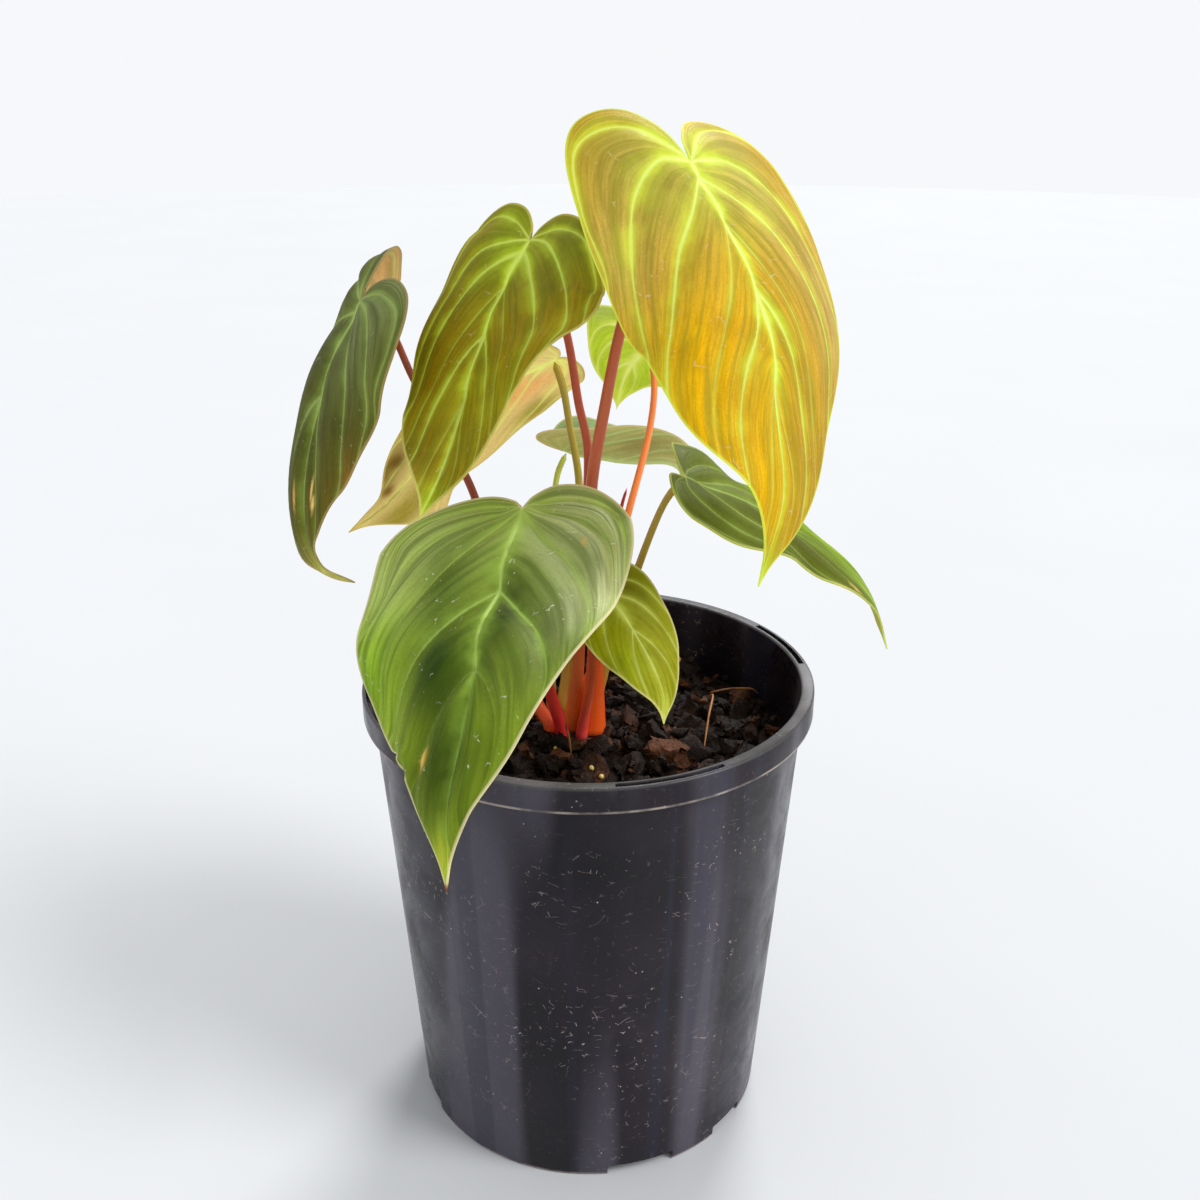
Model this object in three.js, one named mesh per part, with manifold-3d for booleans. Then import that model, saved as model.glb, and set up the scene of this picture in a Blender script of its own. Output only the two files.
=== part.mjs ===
// A velvet-leaved philodendron in its black nursery pot.
// Millimetres, +Z up. The origin is the middle of the pot's underside, and the plant's front faces -Y.

import * as THREE from "three";
import { mergeVertices } from "three/addons/utils/BufferGeometryUtils.js";
import Module from "manifold-3d";

const wasm = await Module();
wasm.setup();

// Driving sizes of the pot

const POT_HEIGHT = 148;
const POT_RIM_RADIUS = 70;
const POT_BASE_RADIUS = 57;
const POT_MOUTH_RADIUS = 66;
const COLLAR_HEIGHT = 8;
const COLLAR_STEP = 3.2;
const WALL = 1.5;
const FLOOR = 2.5;
const EDGE_ROUND = 0.8;
const POT_SIDES = 56;

// The long feet, the short feet and the drain notches between them repeat three times round the base.
const FOOT_REPEATS = 3;
const NOTCH_SPANS = [[-84, -62], [-45, -30]];
const NOTCH_HEIGHT = 3.6;
const NOTCH_INNER_RADIUS = 49;

const SLOT_CENTRES = [-70, 20, 110, 200];
const SLOT_SPAN = 27;
const SLOT_DEPTH = 3;
const SLOT_INNER_RADIUS = 67.2;
const SLOT_OUTER_RADIUS = 68.9;

// Driving sizes of the potting mix, the crown and the clearances

const GAP = 0.3;
const MIX_LEVEL = 124;
const CHUNK_COUNT = 70;
const CHUNK_LENGTH = [9, 18];
const CHUNK_WIDTH = [7, 12];
const CHUNK_HEIGHT = [5, 8];
const CHUNK_TILT = 0.5;
const CHUNK_SEED = 11;

const CROWN_CENTRE = [-5.5, 2];
const CROWN_RADIUS = 9.4;
const CROWN_FOOT_RADIUS = 7;
const CROWN_TOP = 128;
const CROWN_BOTTOM = 100;

// Driving sizes that all the leaves share

const BLADE_THICKNESS = 0.8;
const BLADE_RINGS = 5;
const BLADE_SPOKES = 16;
const STALK_SIDES = 8;
const STALK_STEP = 9;
const STALK_RISE = 3;

// One half of the heart outline, from the notch at the stalk round the lobe to the tip:
// the way out from the midrib as a share of the half width, and the way along it as a share of its length.
const HALF_HEART = [
  [0, 0], [0.07, -0.10], [0.26, -0.19], [0.56, -0.195], [0.84, -0.09], [1.0, 0.10], [0.99, 0.30],
  [0.84, 0.50], [0.57, 0.69], [0.29, 0.84], [0.10, 0.93], [0.035, 0.972], [0, 1.0],
];
const LOBE_SHARE = 0.2;
const LOBE_BEND = 0.6;
const WAVE_SHIFT = 1.7;

// Each leaf: its midrib from the stalk to the tip, the way its upper face looks at the stalk and at the tip
// (degrees round from the front, degrees up), then left and right values of half width, taper (how much narrower
// the half gets towards the tip), sweep (how far its margin is pushed towards the tip), fold at the midrib,
// curl towards the margin, lobe length and lobe lift, then the margin's wave, and the stalk's route.
// A dent draws the margin in, or out if its depth is negative: side (0 left, 1 right), place along the midrib,
// depth and width.
const LEAVES = [
  {
    name: "top_leaf",
    color: 0xa99a2e,
    rib: [[27, -14, 302], [38, -27, 284], [46, -39, 265], [48, -51, 246], [49, -64, 227], [42, -77, 209]],
    face: [25, 42],
    tipFace: [45, -5],
    width: [38, 42],
    taper: [-0.25, 0],
    sweep: [0, 0],
    fold: [20, -10],
    curl: [98, 25],
    lobe: [1.1, 0.75],
    lift: [-25, -25],
    wave: 0.2,
    stalk: {
      radius: [2.6, 1.4],
      route: [
        [1.1, -0.4, 128], [2, -3, 156], [1, -5, 182], [1, -7, 210], [5, -9, 236], [10, -11, 261],
        [18, -13, 284], [27, -13, 301],
      ],
    },
  },
  {
    name: "upper_left_leaf",
    color: 0x6b6a26,
    rib: [[-16, 10, 279], [-24, 3, 266], [-30, -7, 252], [-34, -20, 239], [-38, -36, 227], [-43, -51, 217]],
    face: [-42, 4],
    tipFace: [-10, -6],
    width: [28, 43],
    taper: [0, 0.32],
    sweep: [0, 0.12],
    dents: [[1, 0.55, 0.17, 0.13]],
    fold: [13, 25],
    curl: [50, 25],
    lobe: [0.5, 0.5],
    lift: [0, 0],
    wave: 0.6,
    stalk: {
      radius: [1.9, 1.15],
      route: [
        [-5.2, 1.5, 128], [-3, 5, 152], [-2, 8, 180], [0, 12, 214], [-3, 14, 232], [-6, 14, 251],
        [-11, 12, 269], [-16, 11, 279],
      ],
    },
  },
  {
    name: "far_left_leaf",
    color: 0x4d5a33,
    rib: [
      [-64, 5, 263], [-74, 9, 245], [-81, 11, 228], [-86, 11, 208], [-86, 7, 191], [-81, 3, 182.5], [-71, 1, 178.5],
    ],
    face: [-38, 33],
    tipFace: [-40, -4],
    width: [36, 28],
    taper: [0, 0],
    sweep: [0, 0],
    dents: [[0, 0.9, 0.7, 0.08], [1, 0.9, 0.7, 0.08]],
    fold: [0, 27],
    curl: [110, 50],
    lobe: [0.65, 0.75],
    lift: [-45, -40],
    wave: 1.0,
    stalk: {
      radius: [1.9, 1.0],
      route: [
        [-12.4, -0.6, 128], [-17, 3, 138], [-25, 9, 166], [-35, 14, 202], [-43, 16, 218], [-52, 14, 239],
        [-57, 9, 254], [-62, 6, 262],
      ],
    },
  },
  {
    name: "front_leaf",
    color: 0x5d8a3c,
    rib: [[-18, -24, 211], [-23, -50, 199], [-28, -72, 188], [-31, -90, 175], [-34, -102, 161], [-33, -110, 144]],
    face: [0, 36],
    tipFace: [-36, 0],
    width: [48, 33],
    taper: [0, -0.08],
    sweep: [0.07, 0],
    fold: [-22, 18],
    curl: [12, 25],
    lobe: [0.3, 0.4],
    lift: [10, 10],
    wave: 1.0,
    stalk: {
      radius: [1.9, 1.2],
      route: [
        [-8.4, -3.6, 128], [-12, -8, 147], [-16, -14, 176], [-18, -20, 196], [-18, -24, 207], [-18, -24, 210],
      ],
    },
  },
  {
    name: "small_leaf",
    color: 0x7c8f2e,
    rib: [[4, -17, 184], [10, -21, 178], [15, -25, 171], [19, -30, 165], [22, -33, 157], [22, -35, 149]],
    face: [7, 23],
    tipFace: [30, 0],
    width: [14, 14],
    taper: [0, 0],
    sweep: [0, 0],
    fold: [6, -10],
    curl: [33, 23],
    lobe: [0.8, 0.8],
    lift: [0, 0],
    wave: 0.3,
    stalk: {
      radius: [1.6, 0.9],
      route: [[-2, -4.1, 128], [1, -9, 151], [1, -14, 170], [2, -16, 180], [4, -16, 183]],
    },
  },
  {
    name: "rear_right_leaf",
    color: 0x8a8450,
    rib: [[-9, 56, 204], [3, 58, 201], [16, 60, 199], [27, 62, 198], [32, 65, 193], [33, 69, 182]],
    face: [180, 85],
    tipFace: [140, 10],
    width: [12, 17],
    taper: [-0.2, -0.2],
    sweep: [0.2, 0.1],
    fold: [62, 46],
    curl: [0, 0],
    lobe: [1.0, 0.4],
    lift: [0, 0],
    wave: 0.3,
    stalk: {
      radius: [1.7, 0.9],
      route: [
        [-11.6, 5.5, 128], [-12.5, 14, 140], [-13, 26, 159], [-12.5, 41, 179], [-11, 53, 195], [-9, 56, 203],
      ],
    },
  },
  {
    name: "right_leaf",
    color: 0x5f7a33,
    rib: [[28, -8, 215], [44, -4, 207], [59, 1, 197], [74, 5, 185], [88, 8, 170], [95, 10, 152]],
    face: [-11, 72],
    tipFace: [-12, 84],
    width: [22, 22],
    taper: [0, 0],
    sweep: [0, 0],
    fold: [9, 3],
    curl: [26, 18],
    lobe: [0.4, 0.1],
    lift: [20, 20],
    wave: 1.2,
    stalk: {
      radius: [1.8, 1.0],
      route: [[1.1, 4.4, 128], [7, 4, 155], [15, 3, 182], [21, -1, 201], [25, -5, 210], [27, -8, 214]],
    },
  },
  {
    name: "rear_left_leaf",
    color: 0x9c8f55,
    rib: [[-9.5, 35, 240], [-23, 39, 233], [-37, 43, 222], [-52, 46, 207], [-66, 47, 190], [-81, 47, 178]],
    face: [185, 50],
    tipFace: [177, 26],
    width: [16, 23],
    taper: [-0.4, 0.28],
    sweep: [0, 0],
    dents: [[0, 0.78, -0.8, 0.1], [1, 0.84, 0.35, 0.08]],
    fold: [-10, -12],
    curl: [0, 0],
    lobe: [0.2, 0.2],
    lift: [0, 0],
    wave: 0.6,
    stalk: {
      radius: [1.8, 1.1],
      route: [
        [-8.8, 8.2, 128], [-7, 15, 144], [-5, 24, 174], [-3, 30, 199], [-6, 33, 219], [-8, 34, 231], [-9.5, 34, 239],
      ],
    },
  },
  {
    name: "rear_small_leaf",
    color: 0xb3bd5e,
    rib: [[19.5, 50, 242], [13, 52, 233], [10.5, 53.5, 226], [9, 54, 218.5]],
    face: [165, 20],
    tipFace: [170, 10],
    width: [22, 25],
    taper: [0.8, 0.8],
    sweep: [0, 0],
    fold: [8, -6],
    curl: [20, 20],
    lobe: [0.8, 0.8],
    lift: [-10, -10],
    wave: 0,
    stalk: {
      radius: [1.8, 1.0],
      route: [
        [-4.9, 9, 128], [3, 17, 147], [7, 25, 170], [13, 33, 191], [19, 42, 212], [21, 45, 227], [20, 48, 238],
        [19.5, 49, 241],
      ],
    },
  },
];

const SHOOT = {
  radius: [1.7, 0.35],
  route: [[-1.2, 7.5, 128], [5, 11, 155], [7, 15, 177], [10, 17, 196], [12, 19, 203]],
};

const radians = THREE.MathUtils.degToRad;

// Closed geometry and solids

function closedGeometry(positions, triangles) {
  const geometry = new THREE.BufferGeometry();
  geometry.setAttribute("position", new THREE.Float32BufferAttribute(positions, 3));
  geometry.setIndex(triangles);
  geometry.computeVertexNormals();
  return geometry;
}

function signedVolume(positions, triangles) {
  const a = new THREE.Vector3();
  const b = new THREE.Vector3();
  const c = new THREE.Vector3();
  let sum = 0;
  for (let i = 0; i < triangles.length; i += 3) {
    a.fromArray(positions, 3 * triangles[i]);
    b.fromArray(positions, 3 * triangles[i + 1]);
    c.fromArray(positions, 3 * triangles[i + 2]);
    sum += a.dot(b.cross(c)) / 6;
  }
  return sum;
}

function solidOf(geometry) {
  const bare = geometry.clone();
  bare.deleteAttribute("normal");
  bare.deleteAttribute("uv");
  const merged = mergeVertices(bare, 1e-3);
  const positions = merged.attributes.position.array;
  const triangles = [];
  for (let i = 0; i < merged.index.count; i += 3) {
    const [a, b, c] = [0, 1, 2].map((k) => merged.index.getX(i + k));
    if (a !== b && b !== c && c !== a) {
      triangles.push(a, b, c);
    }
  }
  if (signedVolume(positions, triangles) < 0) {
    triangles.reverse();
  }
  const mesh = new wasm.Mesh({
    numProp: 3,
    vertProperties: Float32Array.from(positions),
    triVerts: Uint32Array.from(triangles),
  });
  return new wasm.Manifold(mesh);
}

function geometryOf(solid) {
  const mesh = solid.getMesh();
  return closedGeometry(Array.from(mesh.vertProperties), Array.from(mesh.triVerts));
}

function turned(profile, sides = POT_SIDES) {
  const points = profile.map(([radius, height]) => new THREE.Vector2(radius, height));
  const geometry = new THREE.LatheGeometry(points, sides);
  geometry.rotateX(Math.PI / 2);
  return geometry;
}

function ringSector(inner, outer, fromDegrees, toDegrees, bottom, top) {
  const from = radians(fromDegrees);
  const to = radians(toDegrees);
  const shape = new THREE.Shape();
  shape.absarc(0, 0, outer, from, to, false);
  shape.absarc(0, 0, inner, to, from, true);
  const geometry = new THREE.ExtrudeGeometry(shape, {
    depth: top - bottom,
    bevelEnabled: false,
    curveSegments: 8,
  });
  geometry.translate(0, 0, bottom);
  return geometry;
}

function namedMesh(name, geometry, color, roughness) {
  const material = new THREE.MeshStandardMaterial({ color, roughness, metalness: 0 });
  const mesh = new THREE.Mesh(geometry, material);
  mesh.name = name;
  return mesh;
}

// The pot

function outerRadius(height) {
  const topRadius = POT_RIM_RADIUS - COLLAR_STEP;
  const share = height / (POT_HEIGHT - COLLAR_HEIGHT);
  return THREE.MathUtils.lerp(POT_BASE_RADIUS, topRadius, share);
}

function potBody() {
  const collarBottom = POT_HEIGHT - COLLAR_HEIGHT;
  const innerShoulder = collarBottom - 2;
  return turned([
    [0, 0],
    [POT_BASE_RADIUS - EDGE_ROUND, 0],
    [outerRadius(EDGE_ROUND), EDGE_ROUND],
    [outerRadius(collarBottom - EDGE_ROUND), collarBottom - EDGE_ROUND],
    [outerRadius(collarBottom) + EDGE_ROUND / 2, collarBottom],
    [POT_RIM_RADIUS - EDGE_ROUND, collarBottom],
    [POT_RIM_RADIUS, collarBottom + EDGE_ROUND],
    [POT_RIM_RADIUS, POT_HEIGHT - EDGE_ROUND],
    [POT_RIM_RADIUS - EDGE_ROUND, POT_HEIGHT],
    [POT_MOUTH_RADIUS, POT_HEIGHT],
    [POT_MOUTH_RADIUS - EDGE_ROUND / 2, POT_HEIGHT - EDGE_ROUND],
    [outerRadius(innerShoulder) - WALL, innerShoulder],
    [outerRadius(FLOOR) - WALL, FLOOR],
    [0, FLOOR],
  ]);
}

function makePot() {
  let solid = solidOf(potBody());
  for (let turn = 0; turn < FOOT_REPEATS; turn += 1) {
    const start = (360 / FOOT_REPEATS) * turn;
    for (const [from, to] of NOTCH_SPANS) {
      const notch = ringSector(
        NOTCH_INNER_RADIUS, POT_RIM_RADIUS, start + from, start + to, -NOTCH_HEIGHT, NOTCH_HEIGHT,
      );
      solid = solid.subtract(solidOf(notch));
    }
  }
  for (const centre of SLOT_CENTRES) {
    const slot = ringSector(
      SLOT_INNER_RADIUS, SLOT_OUTER_RADIUS, centre - SLOT_SPAN / 2, centre + SLOT_SPAN / 2,
      POT_HEIGHT - SLOT_DEPTH, POT_HEIGHT + SLOT_DEPTH,
    );
    solid = solid.subtract(solidOf(slot));
  }
  return namedMesh("pot", geometryOf(solid), 0x1c1b20, 0.35);
}

// The potting mix: a fill with chunks of bark half sunk in its top

function seededDraws(seed) {
  let state = seed;
  return () => {
    state = (state * 1664525 + 1013904223) % 4294967296;
    return state / 4294967296;
  };
}

function barkChunk(draw) {
  const between = ([low, high]) => low + (high - low) * draw();
  const block = new THREE.BoxGeometry(between(CHUNK_LENGTH), between(CHUNK_WIDTH), between(CHUNK_HEIGHT));
  block.deleteAttribute("normal");
  block.deleteAttribute("uv");
  const chunk = mergeVertices(block);
  const corners = chunk.attributes.position;
  for (let i = 0; i < corners.count; i += 1) {
    corners.setXYZ(
      i,
      corners.getX(i) * (0.65 + 0.5 * draw()),
      corners.getY(i) * (0.65 + 0.5 * draw()),
      corners.getZ(i) * (0.7 + 0.5 * draw()),
    );
  }
  chunk.rotateX(CHUNK_TILT * (2 * draw() - 1));
  chunk.rotateY(CHUNK_TILT * (2 * draw() - 1));
  chunk.rotateZ(2 * Math.PI * draw());
  return chunk;
}

function mixFill(top) {
  return turned([
    [0, FLOOR + GAP],
    [outerRadius(FLOOR) - WALL - GAP, FLOOR + GAP],
    [outerRadius(top) - WALL - GAP, top],
    [0, top],
  ]);
}

function makePottingMix() {
  const draw = seededDraws(CHUNK_SEED);
  const fieldRadius = outerRadius(MIX_LEVEL) - WALL - 3;
  const goldenTurn = Math.PI * (3 - Math.sqrt(5));
  let solid = solidOf(mixFill(MIX_LEVEL));
  for (let i = 0; i < CHUNK_COUNT; i += 1) {
    const reach = fieldRadius * Math.sqrt((i + 0.5) / CHUNK_COUNT) + 2 * (draw() - 0.5);
    const angle = goldenTurn * i + 0.3 * draw();
    const chunk = barkChunk(draw);
    chunk.translate(reach * Math.cos(angle), reach * Math.sin(angle), MIX_LEVEL - 0.5 + 1.2 * draw());
    solid = solid.add(solidOf(chunk));
  }
  solid = solid.intersect(solidOf(mixFill(CROWN_TOP + STALK_RISE)));
  const hole = turned([
    [0, CROWN_BOTTOM - GAP],
    [CROWN_RADIUS + GAP, CROWN_BOTTOM - GAP],
    [CROWN_RADIUS + GAP, POT_HEIGHT],
    [0, POT_HEIGHT],
  ], 24);
  hole.translate(CROWN_CENTRE[0], CROWN_CENTRE[1], 0);
  solid = solid.subtract(solidOf(hole));
  const pieces = solid.decompose().sort((a, b) => b.volume() - a.volume());
  return namedMesh("potting_mix", geometryOf(pieces[0]), 0x2a2019, 0.9);
}

// The crown that the stalks grow from

function makeCrown() {
  const crown = turned([
    [0, CROWN_BOTTOM],
    [CROWN_FOOT_RADIUS, CROWN_BOTTOM],
    [CROWN_RADIUS, CROWN_TOP - 8],
    [CROWN_RADIUS, CROWN_TOP],
    [0, CROWN_TOP],
  ], 24);
  crown.translate(CROWN_CENTRE[0], CROWN_CENTRE[1], 0);
  return namedMesh("crown", geometryOf(solidOf(crown)), 0x6b3a24, 0.7);
}

// Stalks: round tubes that taper from the crown to the blade

function taperedTube(points, [startRadius, endRadius]) {
  const curve = new THREE.CatmullRomCurve3(points, false, "catmullrom", 0.5);
  const steps = Math.ceil(curve.getLength() / STALK_STEP);
  const frames = curve.computeFrenetFrames(steps, false);
  const positions = [];
  const triangles = [];
  for (let i = 0; i <= steps; i += 1) {
    const centre = curve.getPointAt(i / steps);
    const radius = THREE.MathUtils.lerp(startRadius, endRadius, Math.sqrt(i / steps));
    for (let k = 0; k < STALK_SIDES; k += 1) {
      const angle = (2 * Math.PI * k) / STALK_SIDES;
      const point = centre.clone();
      point.addScaledVector(frames.normals[i], radius * Math.cos(angle));
      point.addScaledVector(frames.binormals[i], radius * Math.sin(angle));
      positions.push(...point.toArray());
    }
  }
  const ringVertex = (i, k) => i * STALK_SIDES + (k % STALK_SIDES);
  for (let i = 0; i < steps; i += 1) {
    for (let k = 0; k < STALK_SIDES; k += 1) {
      triangles.push(ringVertex(i, k), ringVertex(i, k + 1), ringVertex(i + 1, k + 1));
      triangles.push(ringVertex(i, k), ringVertex(i + 1, k + 1), ringVertex(i + 1, k));
    }
  }
  for (let k = 1; k < STALK_SIDES - 1; k += 1) {
    triangles.push(ringVertex(0, 0), ringVertex(0, k + 1), ringVertex(0, k));
    triangles.push(ringVertex(steps, 0), ringVertex(steps, k), ringVertex(steps, k + 1));
  }
  return closedGeometry(positions, triangles);
}

function risingRoute(route) {
  const base = new THREE.Vector3(route[0][0], route[0][1], CROWN_TOP + GAP);
  const risen = base.clone().setZ(base.z + STALK_RISE);
  return [base, risen, ...route.slice(1).map((point) => new THREE.Vector3(...point))];
}

// The route's last point moves clear of the blade's underside.
function seatedRoute(leaf, blade) {
  const points = risingRoute(leaf.stalk.route);
  const { along, up } = blade.frameAt(0, 1);
  const junction = new THREE.Vector3(...leaf.rib[0]);
  const before = points[points.length - 2];
  const heading = junction.clone().sub(before).normalize();
  const tilt = Math.sqrt(1 - heading.dot(up) ** 2);
  const droop = Math.tan(radians(Math.max(0, -leaf.fold[0], -leaf.fold[1])));
  const endRadius = leaf.stalk.radius[1];
  const drop = BLADE_THICKNESS / 2 + GAP + endRadius * (tilt + droop);
  const seat = junction.addScaledVector(up, -drop).addScaledVector(along, endRadius);
  points[points.length - 1] = seat;
  return points;
}

// Blades: a heart drawn as spokes from the stalk's end, laid on a surface that folds at the midrib,
// curls towards the margins and waves along them

function facing([round, raise]) {
  const level = Math.cos(radians(raise));
  return new THREE.Vector3(
    Math.sin(radians(round)) * level, -Math.cos(radians(round)) * level, Math.sin(radians(raise)),
  );
}

class Blade {
  constructor(leaf) {
    this.leaf = leaf;
    const points = leaf.rib.map((point) => new THREE.Vector3(...point));
    this.midrib = new THREE.CatmullRomCurve3(points, false, "catmullrom", 0.5);
    this.length = this.midrib.getLength();
    const outline = HALF_HEART.map(([out, along]) => new THREE.Vector3(out, along, 0));
    this.outline = new THREE.CatmullRomCurve3(outline, false, "catmullrom", 0.5);
  }

  // The frame at a distance along the midrib; below zero it runs on into the lobe of one side.
  frameAt(distance, side) {
    const share = THREE.MathUtils.clamp(distance / this.length, 0, 1);
    const origin = this.midrib.getPointAt(share);
    const along = this.midrib.getTangentAt(share);
    const up = facing(this.leaf.face).lerp(facing(this.leaf.tipFace), share);
    up.addScaledVector(along, -up.dot(along)).normalize();
    const across = up.clone().cross(along);
    const back = Math.max(0, -distance);
    if (back > 0) {
      const lobeLength = LOBE_SHARE * this.leaf.lobe[side] * this.length;
      const turn = radians(this.leaf.lift[side]) * (back / lobeLength);
      origin.addScaledVector(along, -back + LOBE_BEND * back * (1 - Math.cos(turn)));
      origin.addScaledVector(up, LOBE_BEND * back * Math.sin(turn));
    }
    return { origin, along, up, across };
  }

  // A point of the blade: out from the midrib (left below zero), along it, and off the middle surface.
  pointAt(out, distance, height) {
    const side = out > 0 ? 1 : 0;
    const sign = out > 0 ? 1 : -1;
    const width = this.leaf.width[side];
    const reach = Math.abs(out);
    const fold = radians(this.leaf.fold[side]);
    const bend = radians(this.leaf.curl[side]) / width;
    const slope = fold - bend * reach;
    let sideways = reach * Math.cos(fold);
    let upwards = reach * Math.sin(fold);
    if (bend !== 0) {
      sideways = (Math.sin(fold) - Math.sin(slope)) / bend;
      upwards = (Math.cos(slope) - Math.cos(fold)) / bend;
    }
    const phase = side === 1 ? 0 : WAVE_SHIFT;
    const swell = this.leaf.wave * (reach / width) ** 2 * Math.sin((6 * Math.PI * distance) / this.length + phase);
    const lift = height + swell;
    const lean = reach > 0 ? slope : 0;
    const { origin, up, across } = this.frameAt(distance, side);
    origin.addScaledVector(across, sign * (sideways - lift * Math.sin(lean)));
    origin.addScaledVector(up, upwards + lift * Math.cos(lean));
    return origin;
  }

  // Rings and spokes of one half, the same on the upper and the lower face.
  halfPoint(side, spoke, ring, height) {
    const { x, y } = this.outline.getPoint(spoke / BLADE_SPOKES);
    const { lobe, taper, sweep, width, dents = [] } = this.leaf;
    const share = ring / BLADE_RINGS;
    const lobed = y < 0 ? y * lobe[side] : y;
    const ahead = Math.max(0, lobed);
    let reach = Math.max(0, x) * (1 - taper[side] * ahead);
    for (const [dented, place, depth, span] of dents) {
      if (dented === side) {
        reach *= 1 - depth * Math.exp(-(((lobed - place) / span) ** 2));
      }
    }
    const swept = lobed + sweep[side] * reach ** 2 * (1 - ahead);
    const out = (side === 1 ? 1 : -1) * reach * width[side];
    return this.pointAt(share * out, share * swept * this.length, height);
  }

  geometry() {
    const positions = [];
    const triangles = [];
    const vertices = new Map();
    const half = BLADE_THICKNESS / 2;
    const vertex = (face, side, spoke, ring) => {
      const onRib = spoke === BLADE_SPOKES || ring === 0;
      const key = [face, ring === 0 ? 0 : spoke, ring, onRib ? 0 : side].join(" ");
      if (!vertices.has(key)) {
        vertices.set(key, positions.length / 3);
        positions.push(...this.halfPoint(onRib ? 1 : side, spoke, ring, face * half).toArray());
      }
      return vertices.get(key);
    };
    const addTriangle = (a, b, c, flip) => triangles.push(...(flip ? [a, c, b] : [a, b, c]));
    for (const face of [1, -1]) {
      for (const side of [0, 1]) {
        const flip = (face === 1) === (side === 0);
        for (let spoke = 1; spoke < BLADE_SPOKES; spoke += 1) {
          for (let ring = 0; ring < BLADE_RINGS; ring += 1) {
            const a = vertex(face, side, spoke, ring);
            const b = vertex(face, side, spoke, ring + 1);
            const c = vertex(face, side, spoke + 1, ring + 1);
            const d = vertex(face, side, spoke + 1, ring);
            addTriangle(a, b, c, flip);
            if (ring > 0) {
              addTriangle(a, c, d, flip);
            }
          }
        }
      }
    }
    for (const side of [0, 1]) {
      const edge = [];
      for (let ring = 0; ring <= BLADE_RINGS; ring += 1) {
        edge.push([1, ring]);
      }
      for (let spoke = 2; spoke <= BLADE_SPOKES; spoke += 1) {
        edge.push([spoke, BLADE_RINGS]);
      }
      for (let i = 0; i < edge.length - 1; i += 1) {
        const a = vertex(1, side, ...edge[i]);
        const b = vertex(1, side, ...edge[i + 1]);
        const c = vertex(-1, side, ...edge[i + 1]);
        const d = vertex(-1, side, ...edge[i]);
        addTriangle(a, d, c, side === 0);
        addTriangle(a, c, b, side === 0);
      }
    }
    if (signedVolume(positions, triangles) < 0) {
      triangles.reverse();
    }
    return closedGeometry(positions, triangles);
  }
}

const plant = new THREE.Group();
plant.add(makePot());
plant.add(makePottingMix());
plant.add(makeCrown());
plant.add(namedMesh("new_shoot", taperedTube(risingRoute(SHOOT.route), SHOOT.radius), 0xa8402c, 0.5));
for (const leaf of LEAVES) {
  const blade = new Blade(leaf);
  plant.add(namedMesh(`${leaf.name}_blade`, blade.geometry(), leaf.color, 0.6));
  const stalk = taperedTube(seatedRoute(leaf, blade), leaf.stalk.radius);
  plant.add(namedMesh(`${leaf.name}_stalk`, stalk, 0x9a4a2a, 0.5));
}

export default plant;
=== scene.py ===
"""The looks of a velvet-leaved philodendron in its black nursery pot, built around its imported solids.

Sizes in the tables are millimetres, turned to metres where a mesh is made. +Z is up and the front faces -Y.
"""

import math
from dataclasses import dataclass

import bpy
import numpy as np
from bpy.props import FloatProperty, FloatVectorProperty, IntProperty, PointerProperty
from bpy.types import Operator, Panel, PropertyGroup
from mathutils import Matrix, Vector, noise


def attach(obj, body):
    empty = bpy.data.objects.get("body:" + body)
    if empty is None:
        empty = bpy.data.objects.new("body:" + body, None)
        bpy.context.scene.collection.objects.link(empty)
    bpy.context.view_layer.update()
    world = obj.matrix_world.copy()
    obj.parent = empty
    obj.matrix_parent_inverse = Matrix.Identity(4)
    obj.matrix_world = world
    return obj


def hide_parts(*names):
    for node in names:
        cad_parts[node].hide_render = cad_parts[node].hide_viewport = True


bl_info = {
    "name": "Potted philodendron",
    "version": (1, 0, 0),
    "blender": (4, 5, 0),
    "location": "3D View > Sidebar > Plant",
    "description": "Models and finishes a velvet-leaved philodendron in its black nursery pot",
    "category": "Object",
}

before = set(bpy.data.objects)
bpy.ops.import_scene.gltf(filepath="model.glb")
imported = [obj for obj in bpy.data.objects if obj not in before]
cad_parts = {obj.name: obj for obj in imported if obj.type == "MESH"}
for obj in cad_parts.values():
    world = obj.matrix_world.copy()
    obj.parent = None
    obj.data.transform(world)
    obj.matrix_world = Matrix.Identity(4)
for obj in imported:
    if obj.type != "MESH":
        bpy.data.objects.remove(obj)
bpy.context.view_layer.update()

MM = 0.001
BODY = "root"

# The pot

POT_HEIGHT = 148
POT_RIM_RADIUS = 70
POT_BASE_RADIUS = 57
POT_MOUTH_RADIUS = 66
COLLAR_HEIGHT = 8
COLLAR_STEP = 3.2
WALL = 1.5
FLOOR = 2.5
NOTCH_REPEATS = 3
NOTCH_SPANS = ((-84, -62), (-45, -30))
NOTCH_HEIGHT = 3.6
NOTCH_INNER_RADIUS = 49
SLOT_CENTRES = (-70, 20, 110, 200)
SLOT_SPAN = 27
SLOT_DEPTH = 3
SLOT_RADII = (67.2, 68.9)
FLAT_RING = 3
SHOULDER_DROP = 2
EDGE_ROUNDING = 0.7

# The potting mix. Its chunks follow the same draws as the solid's.

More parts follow.
